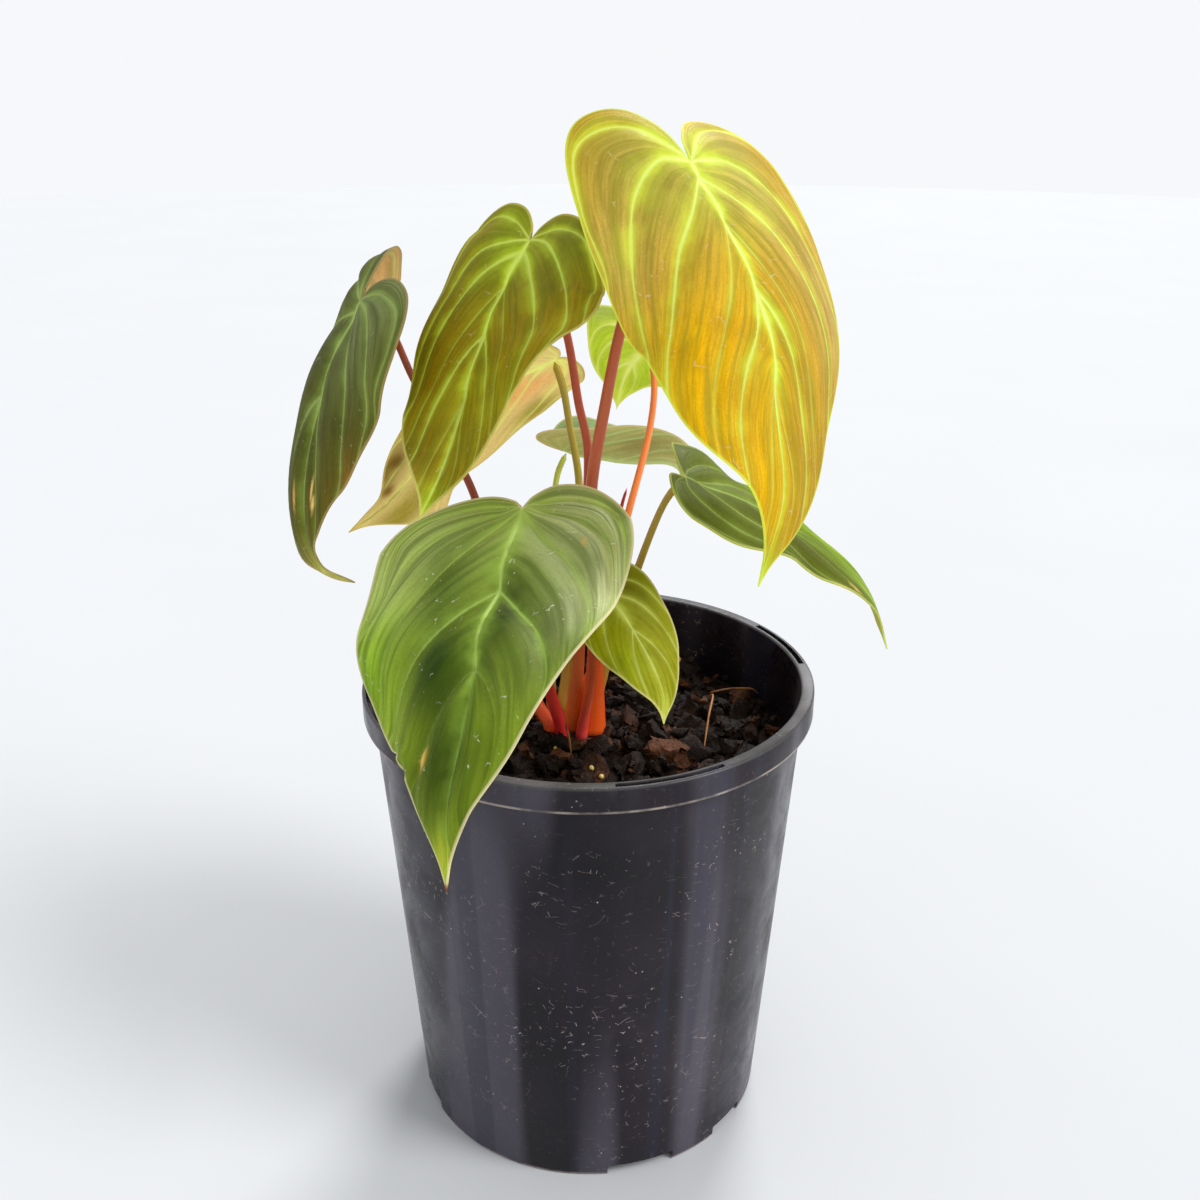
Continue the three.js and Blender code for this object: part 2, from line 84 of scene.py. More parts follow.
MIX_GAP = 0.3
MIX_LEVEL = 124
CHUNK_COUNT = 70
CHUNK_LENGTH = (9, 18)
CHUNK_WIDTH = (7, 12)
CHUNK_HEIGHT = (5, 8)
CHUNK_TILT = 0.5
CHUNK_SEED = 11
CHUNK_CORNERS = (
    (1, 1, 1), (1, 1, -1), (1, -1, 1), (1, -1, -1), (-1, 1, -1), (-1, 1, 1), (-1, -1, -1), (-1, -1, 1),
)
CHUNK_PULL = (0.65, 0.65, 0.7)
CHUNK_PULL_SPAN = 0.5
CHUNK_FROM_WALL = 3
CHUNK_SHADE_SEED = 5

# Only in the looks: the bed's rough top, loose chips, feed prills and root fibres

BED_SIDES = 128
BED_RINGS = 28
BED_CENTRE = 1.5
BED_ROUGH_RADIUS = 62
BED_LUMPS = ((2.0, 160), (0.8, 420))
BED_SHADE = 0.1
LUMP_SCALE = 2.6
FINE_LUMP_SCALE = 2.9
CHIP_SEED = 23
CHIP_FROM_WALL = 2.5
CHIP_FROM_CROWN = 8
CHIP_LENGTH = (2.4, 9.4)
CHIP_WIDTH = (0.45, 0.9)
CHIP_HEIGHT = (0.35, 0.8)
CHIP_TILT = 0.5
CHIP_LIFT = (0.2, 4.2)
# The chunk that lies loose at the front: x, y, size, height and turn
BIG_CHUNK = (24, -16, 11, 128.5, -25)
BIG_CHUNK_SHAPE = 3
PRILL_LIFT = 3.6
PRILL_LUMP = 0.12
PRILL_LUMP_SCALE = 900
# x, y and radius
FEED_PRILLS = (
    (31, 53, 1.6), (-10, -11, 0.9), (1, -23, 0.9), (4, -28, 0.8), (24, 30, 1.0), (-38, 22, 1.2),
    (45, -30, 0.9),
)
FIBRE_RADIUS = 0.34
ROOT_FIBRES = (
    ((-7, -12, 140), (-6.8, -12.6, 136), (-5.8, -12.2, 131), (-5.4, -12, 126)),
    ((39, 16, 132), (40, 9, 136), (38, -1, 134), (36, -10, 127)),
    ((40, 25, 129), (47, 24, 131), (54, 24, 131), (57, 26, 128)),
    ((17, 36, 128), (22, 41, 131), (29, 42, 130), (33, 46, 127)),
    ((-30, -22, 128), (-36, -16, 131), (-44, -15, 129), (-49, -9, 126)),
)

# The crown and what grows from it

CROWN_CENTRE = (-5.5, 2)
CROWN_RADIUS = 9.4
CROWN_FOOT_RADIUS = 6.6
CROWN_TOP = 128
CROWN_BOTTOM = 100
CROWN_RINGS = (106, 116, 122, 123, 124, 125)
CROWN_DOME_START = 2.5
CROWN_DOME_HEIGHT = 2.6
CROWN_DOME_STEPS = 9
CROWN_SIDES = 48
# Lumps of the crown, outwards and upwards: height as a share of the radius or in metres, and scale
CROWN_LUMPS = ((0.07, 420), (0.03, 1200))
CROWN_TOP_LUMP = (0.0004, 700)
CROWN_NARROWED = 0.95
STALK_SUNK = 2
STALK_UPRIGHT = 5
STALK_UNDER_BLADE = 1.5
STALK_START_LENGTH = 0.8
SHEATH_LENGTH = 22
NECK_SWELL = 0.12
NECK_PLACE = 6
NECK_LENGTH = 4
SHOOT_ROUTE = ((-1.2, 7.5, 128), (5, 11, 155), (7, 15, 177), (10, 17, 196), (12, 19, 203))
SHOOT_RADIUS = (1.7, 0.35)
SHOOT_END_LENGTH = 1.5
SHOOT_COLOURS = ((225, 70, 45), (185, 45, 45))

# The blades. One half of the heart outline, from the notch round the lobe to the tip: the way out from the
# midrib as a share of the half width, and the way along it as a share of its length.

HALF_HEART = (
    (0, 0), (0.07, -0.10), (0.26, -0.19), (0.56, -0.195), (0.84, -0.09), (1.0, 0.10), (0.99, 0.30),
    (0.84, 0.50), (0.57, 0.69), (0.29, 0.84), (0.10, 0.93), (0.035, 0.972), (0, 1.0),
)
RIB_PARTNERS = (0, 0.004, 0.012, 0.03, 0.07, 0.15, 0.28, 0.43, 0.60, 0.77, 0.90, 0.96, 1.0)
LOBE_SHARE = 0.2
LOBE_BEND = 0.6
WAVE_SHIFT = 1.7

# Side veins of one half, from the margin inwards, on a long leaf and on the broad front one: strength, then
# points as in the outline.
SIDE_VEINS = {
    "long": (
        (0.8, ((0, 0), (0.30, -0.11), (0.66, -0.12), (0.88, 0.0), (0.95, 0.16), (1.08, 0.32))),
        (1.0, ((0, 0), (0.28, 0.01), (0.60, 0.08), (0.82, 0.23), (0.90, 0.40), (0.86, 0.62))),
        (1.0, ((0, 0.04), (0.20, 0.10), (0.44, 0.20), (0.62, 0.35), (0.70, 0.53), (0.64, 0.78))),
        (0.45, ((0, 0.16), (0.15, 0.27), (0.34, 0.42), (0.46, 0.60), (0.47, 0.84))),
        (0.9, ((0, 0.33), (0.11, 0.41), (0.24, 0.51), (0.33, 0.66), (0.32, 0.89))),
        (0.4, ((0, 0.55), (0.06, 0.64), (0.13, 0.78), (0.13, 0.95))),
    ),
    "broad": (
        (0.7, ((0, 0), (0.30, -0.09), (0.66, -0.09), (0.88, 0.03), (0.98, 0.18), (1.08, 0.34))),
        (0.7, ((0, 0), (0.28, 0.01), (0.58, 0.04), (0.82, 0.12), (0.94, 0.26), (1.02, 0.45))),
        (0.9, ((0, 0.01), (0.27, 0.09), (0.53, 0.17), (0.74, 0.28), (0.85, 0.43), (0.86, 0.62))),
        (1.0, ((0, 0.27), (0.24, 0.335), (0.50, 0.42), (0.68, 0.55), (0.71, 0.76))),
        (0.35, ((0, 0.50), (0.16, 0.57), (0.32, 0.68), (0.36, 0.88))),
    ),
}
MIDRIB_STRENGTH = 1.5

# Relief of a blade: a pleat is full where its veins are this far apart, and has a crease along its middle.
# Veins lie in a groove above and stand out as a ridge below. It all dies away near the margin and the stalk.
FULL_PLEAT_WIDTH = 11
PLEAT_FULLNESS = 1.1
CREASE_SHARE = 0.12
CREASE_WIDTH = 0.8
GROOVE_WIDTH = 0.8
RIDGE_HEIGHT = 0.35
RIDGE_WIDTH = 0.6
FLAT_MARGIN = 4
FLAT_STALK = (0.5, 9)

# Veins are shifted at random by these shares, across and along, and grow weaker towards the margin.
VEIN_SHIFTS = (0.06, 0.025)
VEIN_FADE = 0.65
VEIN_BLEND = 0.3
PATCH_SHAPE = 1.6
OUTLINE_POINTS = 97
VEIN_POINTS = 41
RIB_POINTS = 21


@dataclass(kw_only=True)
class Leaf:
    """One leaf, its form as in its solid. Pairs are for the left and right half, or as their note says."""

    name: str
    rib: tuple  # points of the midrib
    face: tuple  # the way the upper face looks at the stalk: degrees round from the front, and up
    tip_face: tuple  # the same at the tip
    width: tuple
    taper: tuple = (0, 0)
    sweep: tuple = (0, 0)
    dents: tuple = ()  # in the margin: side, place, depth, width. The solid lacks the front leaf's nicks.
    fold: tuple
    curl: tuple = (0, 0)
    lobe: tuple
    lift: tuple = (0, 0)
    wave: float
    pleat: float  # how high the blade swells between its veins
    veins: tuple  # a pattern, and which of its veins
    detail: tuple  # columns of one half, and rows
    stalk: tuple  # points from the crown to just short of the blade
    stalk_radius: tuple  # at the crown and at the blade
    stalk_colours: tuple  # at the crown and at the blade
    sheath: float = 0.3  # how much the stalk widens at the crown
    upper: tuple  # colours of the two faces
    under: tuple
    streak: tuple  # colour of the lanes that run with the veins
    vein: tuple
    margin: tuple
    dust: float  # strengths of the pale dust, of the veins' glow and of the fine streaks
    glow: float
    grain: float
    patches_and_painted_light: tuple = ()  # soft spots of another colour on the upper face, some of them painted sheen and painted shade: out, along, reach, colour
    under_patches: tuple = ()
    scars: tuple = ()  # out, along, half width, half length, colour


LEAVES = (
    Leaf(
        name="top_leaf",
        rib=((27, -14, 302), (38, -27, 284), (46, -39, 265), (48, -51, 246), (49, -64, 227), (42, -77, 209)),
        face=(25, 42), tip_face=(45, -5), width=(38, 42), taper=(-0.25, 0), fold=(20, -10), curl=(98, 25),
        lobe=(1.1, 0.75), lift=(-25, -25), wave=0.2,
        pleat=0.9, veins=("long", (0, 1, 2, 3, 4, 5)), detail=(56, 120),
        stalk=(
            (1.1, -0.4, 128), (2, -3, 156), (1, -5, 182), (1, -7, 210), (5, -9, 236), (10, -11, 261),
            (18, -13, 284),
        ),
        stalk_radius=(2.6, 1.4), sheath=0.8, stalk_colours=((252, 96, 36), (190, 88, 52)),
        upper=(212, 164, 22), streak=(136, 136, 44), vein=(206, 228, 72), dust=0.3, glow=1.0, grain=1.0,
        under=(214, 190, 90), margin=(205, 225, 95),
        # The pale khaki spots near the stalk are a painted sheen.
        patches_and_painted_light=(
            (0.0, 0.03, 0.22, (196, 210, 88)), (-0.4, 0.0, 0.4, (172, 160, 80)),
            (0.4, 0.05, 0.35, (186, 174, 96)), (-0.85, 0.15, 0.35, (184, 160, 96)),
            (0.8, 0.35, 0.4, (200, 168, 104)), (-0.6, 0.55, 0.4, (222, 172, 10)),
            (-0.25, 0.75, 0.3, (216, 170, 12)), (0.4, 0.7, 0.35, (194, 154, 52)),
            (0.0, 0.97, 0.12, (184, 196, 50)),
        ),
    ),
    Leaf(
        name="upper_left_leaf",
        rib=(
            (-16, 10, 279), (-24, 3, 266), (-30, -7, 252), (-34, -20, 239), (-38, -36, 227), (-43, -51, 217),
        ),
        face=(-42, 4), tip_face=(-10, -6), width=(28, 43), taper=(0, 0.32), sweep=(0, 0.12),
        dents=((1, 0.55, 0.17, 0.13),), fold=(13, 25), curl=(50, 25), lobe=(0.5, 0.5), wave=0.6,
        pleat=0.9, veins=("long", (0, 1, 2, 3, 4, 5)), detail=(48, 110),
        stalk=(
            (-5.2, 1.5, 128), (-3, 5, 152), (-2, 8, 180), (0, 12, 214), (-3, 14, 232), (-6, 14, 251),
            (-11, 12, 269),
        ),
        stalk_radius=(1.9, 1.15), sheath=0.5, stalk_colours=((208, 118, 52), (186, 76, 50)),
        upper=(144, 122, 16), streak=(96, 104, 20), vein=(180, 205, 58), dust=0.3, glow=0.6, grain=0.8,
        under=(165, 150, 90), margin=(190, 180, 110),
        patches_and_painted_light=(
            (0.0, 0.03, 0.2, (156, 166, 60)), (-0.3, 0.0, 0.4, (126, 134, 40)),
            (0.5, 0.0, 0.35, (114, 114, 28)), (-0.75, 0.4, 0.35, (98, 82, 4)),
            (-0.35, 0.75, 0.35, (110, 98, 4)), (0.3, 0.6, 0.3, (142, 132, 20)),
            (0.0, 0.97, 0.15, (152, 168, 30)),
        ),
    ),
    Leaf(
        name="far_left_leaf",
        rib=(
            (-64, 5, 263), (-74, 9, 245), (-81, 11, 228), (-86, 11, 208), (-86, 7, 191), (-81, 3, 182.5),
            (-71, 1, 178.5),
        ),
        face=(-38, 33), tip_face=(-40, -4), width=(36, 28), dents=((0, 0.9, 0.7, 0.08), (1, 0.9, 0.7, 0.08)),
        fold=(0, 27), curl=(110, 50), lobe=(0.65, 0.75), lift=(-45, -40), wave=1.0,
        pleat=1.2, veins=("long", (0, 1, 2, 4)), detail=(44, 100),
        stalk=(
            (-12.4, -0.6, 128), (-17, 3, 138), (-25, 9, 166), (-35, 14, 202), (-43, 16, 218), (-52, 14, 239),
            (-57, 9, 254),
        ),
        stalk_radius=(1.9, 1.0), stalk_colours=((255, 100, 58), (150, 64, 44)),
        upper=(82, 84, 34), streak=(70, 74, 24), vein=(142, 170, 90), dust=0.3, glow=0.3, grain=0.6,
        under=(205, 165, 120), margin=(160, 140, 100),
        patches_and_painted_light=(
            (0.4, 0.0, 0.45, (118, 128, 88)), (0.0, 0.4, 0.35, (76, 80, 22)), (0.2, 0.72, 0.3, (94, 92, 26)),
            (0.9, 0.6, 0.3, (128, 92, 44)), (0.0, 0.98, 0.2, (222, 212, 138)),
        ),
        under_patches=((0.0, 0.97, 0.12, (170, 160, 80)),),
        scars=(
            (-0.12, 0.66, 0.014, 0.04, (225, 165, 110)), (0.25, 0.62, 0.014, 0.045, (238, 190, 130)),
            (0.28, 0.67, 0.02, 0.028, (240, 200, 140)), (0.9, 0.62, 0.09, 0.10, (225, 145, 85)),
        ),
    ),
    Leaf(
        name="front_leaf",
        rib=(
            (-18, -24, 211), (-23, -50, 199), (-28, -72, 188), (-31, -90, 175), (-34, -102, 161),
            (-33, -110, 144),
        ),
        face=(0, 36), tip_face=(-36, 0), width=(48, 33), taper=(0, -0.08), sweep=(0.07, 0), fold=(-22, 18),
        curl=(12, 25), lobe=(0.3, 0.4), lift=(10, 10), wave=1.0,
        dents=((0, 0.665, 0.05, 0.012), (0, 0.74, 0.09, 0.014)),
        pleat=2.8, veins=("broad", (0, 1, 2, 3, 4)), detail=(84, 168),
        stalk=((-8.4, -3.6, 128), (-12, -8, 147), (-16, -14, 176), (-18, -20, 196), (-18, -24, 207)),
        stalk_radius=(1.9, 1.2), stalk_colours=((252, 46, 60), (230, 75, 62)),
        upper=(128, 152, 44), streak=(66, 88, 22), vein=(158, 194, 80), dust=0.7, glow=0.3, grain=0.6,
        under=(150, 160, 95), margin=(232, 216, 186),
        # Pale grey spots on the lobes are a painted sheen, and the near-black ones beside the midrib are
        # painted shade.
        patches_and_painted_light=(
            (0.0, 0.02, 0.2, (172, 194, 106)), (-0.5, 0.0, 0.42, (170, 186, 116)),
            (-0.9, 0.16, 0.25, (188, 206, 126)), (0.5, 0.0, 0.42, (182, 192, 142)),
            (-0.38, 0.22, 0.2, (96, 120, 48)), (-0.95, 0.45, 0.28, (168, 214, 66)),
            (0.16, 0.36, 0.24, (34, 46, 6)), (-0.28, 0.47, 0.22, (40, 64, 8)),
            (-0.05, 0.72, 0.28, (58, 76, 8)), (0.62, 0.42, 0.28, (98, 110, 62)),
            (0.9, 0.25, 0.25, (196, 204, 156)), (0.0, 0.95, 0.12, (200, 212, 74)),
            (-0.8, 0.66, 0.2, (178, 200, 80)),
        ),
        scars=(
            (-0.93, 0.66, 0.07, 0.04, (235, 220, 100)), (-0.98, 0.735, 0.16, 0.03, (225, 205, 140)),
            (-0.27, 0.715, 0.06, 0.032, (226, 180, 100)), (0.62, 0.13, 0.02, 0.012, (200, 160, 100)),
            (0.0, 1.0, 0.3, 0.014, (130, 70, 45)),
        ),
    ),
    Leaf(
        name="small_leaf",
        rib=((4, -17, 184), (10, -21, 178), (15, -25, 171), (19, -30, 165), (22, -33, 157), (22, -35, 149)),
        face=(7, 23), tip_face=(30, 0), width=(14, 14), fold=(6, -10), curl=(33, 23), lobe=(0.8, 0.8),
        wave=0.3,
        pleat=0.35, veins=("long", (0, 1, 2, 4)), detail=(30, 76),
        stalk=((-2, -4.1, 128), (1, -9, 151), (1, -14, 170), (2, -16, 180)),
        stalk_radius=(1.6, 0.9), stalk_colours=((252, 76, 82), (220, 96, 62)),
        upper=(160, 164, 26), streak=(124, 130, 20), vein=(206, 220, 96), dust=0.2, glow=0.65, grain=0.4,
        under=(160, 155, 80), margin=(228, 222, 165),
        patches_and_painted_light=(
            (0.5, 0.05, 0.4, (116, 116, 20)), (-0.4, 0.5, 0.3, (170, 184, 36)),
            (0.0, 0.92, 0.2, (206, 216, 84)),
        ),
    ),
    Leaf(
        name="rear_right_leaf",
        rib=((-9, 56, 204), (3, 58, 201), (16, 60, 199), (27, 62, 198), (32, 65, 193), (33, 69, 182)),
        face=(180, 85), tip_face=(140, 10), width=(12, 17), taper=(-0.2, -0.2), sweep=(0.2, 0.1),
        fold=(62, 46), lobe=(1.0, 0.4), wave=0.3,
        pleat=0.4, veins=("long", (1, 2, 4)), detail=(30, 76),
        stalk=((-11.6, 5.5, 128), (-12.5, 14, 140), (-13, 26, 159), (-12.5, 41, 179), (-11, 53, 195)),
        stalk_radius=(1.7, 0.9), stalk_colours=((190, 120, 50), (168, 180, 74)),
        upper=(130, 158, 120), streak=(118, 106, 60), vein=(150, 168, 110), dust=0.1, glow=0.4, grain=0.3,
        under=(176, 174, 120), margin=(196, 176, 136),
        under_patches=((-0.5, 0.5, 0.4, (140, 134, 84)),),
    ),
    Leaf(
        name="right_leaf",
        rib=((28, -8, 215), (44, -4, 207), (59, 1, 197), (74, 5, 185), (88, 8, 170), (95, 10, 152)),
        face=(-11, 72), tip_face=(-12, 84), width=(22, 22), fold=(9, 3), curl=(26, 18), lobe=(0.4, 0.1),
        lift=(20, 20), wave=1.2,
        pleat=1.0, veins=("long", (0, 1, 2, 4)), detail=(40, 100),
        stalk=((1.1, 4.4, 128), (7, 4, 155), (15, 3, 182), (21, -1, 201), (25, -5, 210)),
        stalk_radius=(1.8, 1.0), stalk_colours=((250, 120, 60), (186, 162, 66)),
        upper=(92, 104, 24), streak=(78, 88, 18), vein=(130, 156, 66), dust=0.3, glow=0.25, grain=0.5,
        under=(160, 155, 90), margin=(190, 195, 110),
        patches_and_painted_light=(
            (0.4, 0.1, 0.4, (106, 118, 50)), (0.7, 0.6, 0.45, (146, 184, 50)),
            (0.0, 0.9, 0.3, (168, 204, 84)), (-0.4, 0.35, 0.3, (80, 84, 12)),
        ),
        scars=(
            (-0.85, 0.62, 0.14, 0.05, (225, 200, 120)), (-0.9, 0.72, 0.12, 0.04, (225, 170, 130)),
            (-0.5, 0.66, 0.04, 0.03, (190, 160, 90)),
        ),
    ),
    Leaf(
        name="rear_left_leaf",
        rib=((-9.5, 35, 240), (-23, 39, 233), (-37, 43, 222), (-52, 46, 207), (-66, 47, 190), (-81, 47, 178)),
        face=(185, 50), tip_face=(177, 26), width=(16, 23), taper=(-0.4, 0.28),
        dents=((0, 0.78, -0.8, 0.1), (1, 0.84, 0.35, 0.08)), fold=(-10, -12), lobe=(0.2, 0.2), wave=0.6,
        pleat=0.4, veins=("long", (0, 1, 2, 4)), detail=(44, 100),
        stalk=((-8.8, 8.2, 128), (-7, 15, 144), (-5, 24, 174), (-3, 30, 199), (-6, 33, 219), (-8, 34, 231)),
        stalk_radius=(1.8, 1.1), stalk_colours=((190, 150, 60), (175, 160, 60)),
        upper=(150, 150, 70), streak=(205, 170, 110), vein=(220, 225, 130), dust=0.2, glow=0.5, grain=0.4,
        under=(228, 202, 146), margin=(200, 180, 110),
        under_patches=(
            (-0.35, 0.2, 0.25, (240, 170, 120)), (-0.95, 0.2, 0.2, (150, 138, 56)),
            (0.8, 0.6, 0.35, (104, 86, 34)), (0.4, 0.76, 0.3, (112, 96, 36)),
            (-0.4, 0.82, 0.3, (148, 138, 52)), (0.0, 1.0, 0.06, (225, 110, 60)),
        ),
        scars=((0.35, 0.66, 0.10, 0.04, (110, 85, 40)), (0.15, 0.78, 0.08, 0.03, (125, 95, 45))),
    ),
    Leaf(
        name="rear_small_leaf",
        rib=((19.5, 50, 242), (13, 52, 233), (10.5, 53.5, 226), (9, 54, 218.5)),
        face=(165, 20), tip_face=(170, 10), width=(22, 25), taper=(0.8, 0.8), fold=(8, -6), curl=(20, 20),
        lobe=(0.8, 0.8), lift=(-10, -10), wave=0,
        pleat=0.3, veins=("long", (1, 2, 4)), detail=(30, 76),
        stalk=(
            (-4.9, 9, 128), (3, 17, 147), (7, 25, 170), (13, 33, 191), (19, 42, 212), (21, 45, 227),
            (20, 48, 238),
        ),
        stalk_radius=(1.8, 1.0), stalk_colours=((240, 100, 40), (235, 130, 70)),
        upper=(170, 190, 80), streak=(120, 156, 40), vein=(205, 215, 110), dust=0.1, glow=0.6, grain=0.3,
        under=(172, 196, 56), margin=(205, 212, 130),
        under_patches=((0.9, -0.05, 0.35, (165, 180, 105)), (0.0, 0.9, 0.3, (196, 214, 70))),
    ),
)


def tone(red, green, blue):
    """A colour as it looks on a screen, 0 to 255, turned to the linear values that shaders take."""
    return tuple((channel / 255) ** 2.2 for channel in (red, green, blue))


# The settings that a user would change


def colour_setting(name, description, red_green_blue):
    default = tone(*red_green_blue)
    return FloatVectorProperty(name=name, description=description, subtype="COLOR", size=3, default=default)


def share_setting(name, description, default):
    return FloatProperty(name=name, description=description, subtype="FACTOR", min=0, max=1, default=default)


def length_setting(name, description, default):
    return FloatProperty(
        name=name, description=description, subtype="DISTANCE", unit="LENGTH", default=default)


def amount_setting(name, description, default):
    return FloatProperty(name=name, description=description, min=0, default=default)


def count_setting(name, description, fewest, most, default):
    return IntProperty(name=name, description=description, min=fewest, max=most, default=default)


class PotSettings(PropertyGroup):
    plastic: colour_setting("Plastic", "Colour of the pot", (24, 21, 26))
    roughness: share_setting("Roughness", "Roughness of clean plastic", 0.3)
    wear: share_setting("Wear", "Strength of scratches and dust", 0.6)
    sides: count_setting("Sides", "Sides of the pot's round walls", 48, 512, 240)


class MixSettings(PropertyGroup):
    dark_bark: colour_setting("Dark bark", "Colour of wet bark", (31, 22, 17))
    red_bark: colour_setting("Red bark", "Colour of fresh bark", (98, 62, 44))
    chips: count_setting("Chips", "Number of small bark chips", 0, 2000, 620)


class BladeSettings(PropertyGroup):
    thickness: length_setting("Thickness", "Thickness of a blade", 0.00045)
    vein_width: length_setting("Vein width", "Half width of a main vein's bright line", 0.00055)
    halo_width: length_setting("Halo width", "How far a main vein's colour spreads into the blade", 0.0032)
    vein_depth: length_setting("Vein depth", "How far the veins sink into the upper face", 0.0003)
    margin_width: length_setting("Margin width", "Width of the pale line round a blade", 0.0007)


class StalkSettings(PropertyGroup):
    sides: count_setting("Sides", "Sides of a stalk", 8, 64, 20)
    step: length_setting("Step", "Length of one step along a stalk", 0.002)
    sheath: amount_setting("Sheath", "How strongly the stalks widen at the crown", 1.0)


class StageSettings(PropertyGroup):
    floor: colour_setting("Floor", "Colour of the floor", (177, 179, 182))
    surroundings: colour_setting("Surroundings", "Colour of the bright room", (249, 250, 253))
    room_light: amount_setting("Room light", "Strength of the room's light", 0.98)
    window_light: amount_setting("Window light", "Strength of the light from the right", 2.6)
    back_light: amount_setting("Back light", "Strength of the light from behind", 2.5)
    focal_length: amount_setting("Focal length", "Focal length of the camera in millimetres", 40.5)


class PlantSettings(PropertyGroup):
    pot: PointerProperty(type=PotSettings, name="Pot", description="The nursery pot")
    mix: PointerProperty(type=MixSettings, name="Mix", description="The bark potting mix")
    blade: PointerProperty(type=BladeSettings, name="Blades", description="The leaf blades")
    stalk: PointerProperty(type=StalkSettings, name="Stalks", description="The leaf stalks")
    stage: PointerProperty(type=StageSettings, name="Stage", description="Floor, light and camera")


# Curves and surfaces in numbers

ROUTE_SAMPLES = 400


def spline(points, places):
    """Points of a uniform Catmull-Rom curve, at places that run from 0 to the number of its spans."""
    knots = np.asarray(points, float)
    padded = np.vstack([2 * knots[0] - knots[1], knots, 2 * knots[-1] - knots[-2]])
    places = np.asarray(places, float)
    start = np.clip(places.astype(int), 0, len(knots) - 2)
    t = (places - start)[..., None]
    p0, p1, p2, p3 = (padded[start + k] for k in range(4))
    return 0.5 * (
        2 * p1 + (p2 - p0) * t + (2 * p0 - 5 * p1 + 4 * p2 - p3) * t**2 + (3 * p1 - p0 - 3 * p2 + p3) * t**3
    )


def unit(vectors):
    return vectors / np.maximum(np.linalg.norm(vectors, axis=-1, keepdims=True), 1e-12)


def smooth(value, low, high):
    """A soft step from 0 at low to 1 at high."""
    t = np.clip((value - low) / (high - low), 0, 1)
    return t * t * (3 - 2 * t)


def facing(round_degrees, raise_degrees):
    level = math.cos(math.radians(raise_degrees))
    turn = math.radians(round_degrees)
    return np.array([math.sin(turn) * level, -math.cos(turn) * level, math.sin(math.radians(raise_degrees))])


class Route:
    """A smooth curve through points, measured by its length."""

    def __init__(self, points):
        self.points = spline(points, np.linspace(0, len(points) - 1, ROUTE_SAMPLES))
        steps = np.linalg.norm(np.diff(self.points, axis=0), axis=1)
        self.distances = np.concatenate([[0], np.cumsum(steps)])
        self.length = self.distances[-1]
        self.tangents = unit(np.gradient(self.points, self.distances, axis=0))

    def at(self, distances):
        """Positions and directions at distances from the start."""
        read = [
            np.stack([np.interp(distances, self.distances, values[:, axis]) for axis in range(3)], -1)
            for values in (self.points, self.tangents)
        ]
        return read[0], unit(read[1])


def from_line(points, line):
    """Each point's distance from a flat polyline, the side it lies on and its share of the way along."""
    run = np.diff(line, axis=0)
    offset = points[:, None] - line[None, :-1]
    along = np.clip((offset * run).sum(-1) / (run**2).sum(-1), 0, 1)
    gap = np.linalg.norm(offset - along[..., None] * run, axis=-1)
    best = gap.argmin(1)
    rows = np.arange(len(points))
    near = offset[rows, best]
    side = run[best, 0] * near[:, 1] - run[best, 1] * near[:, 0]
    return gap[rows, best], side, (best + along[rows, best]) / len(run)


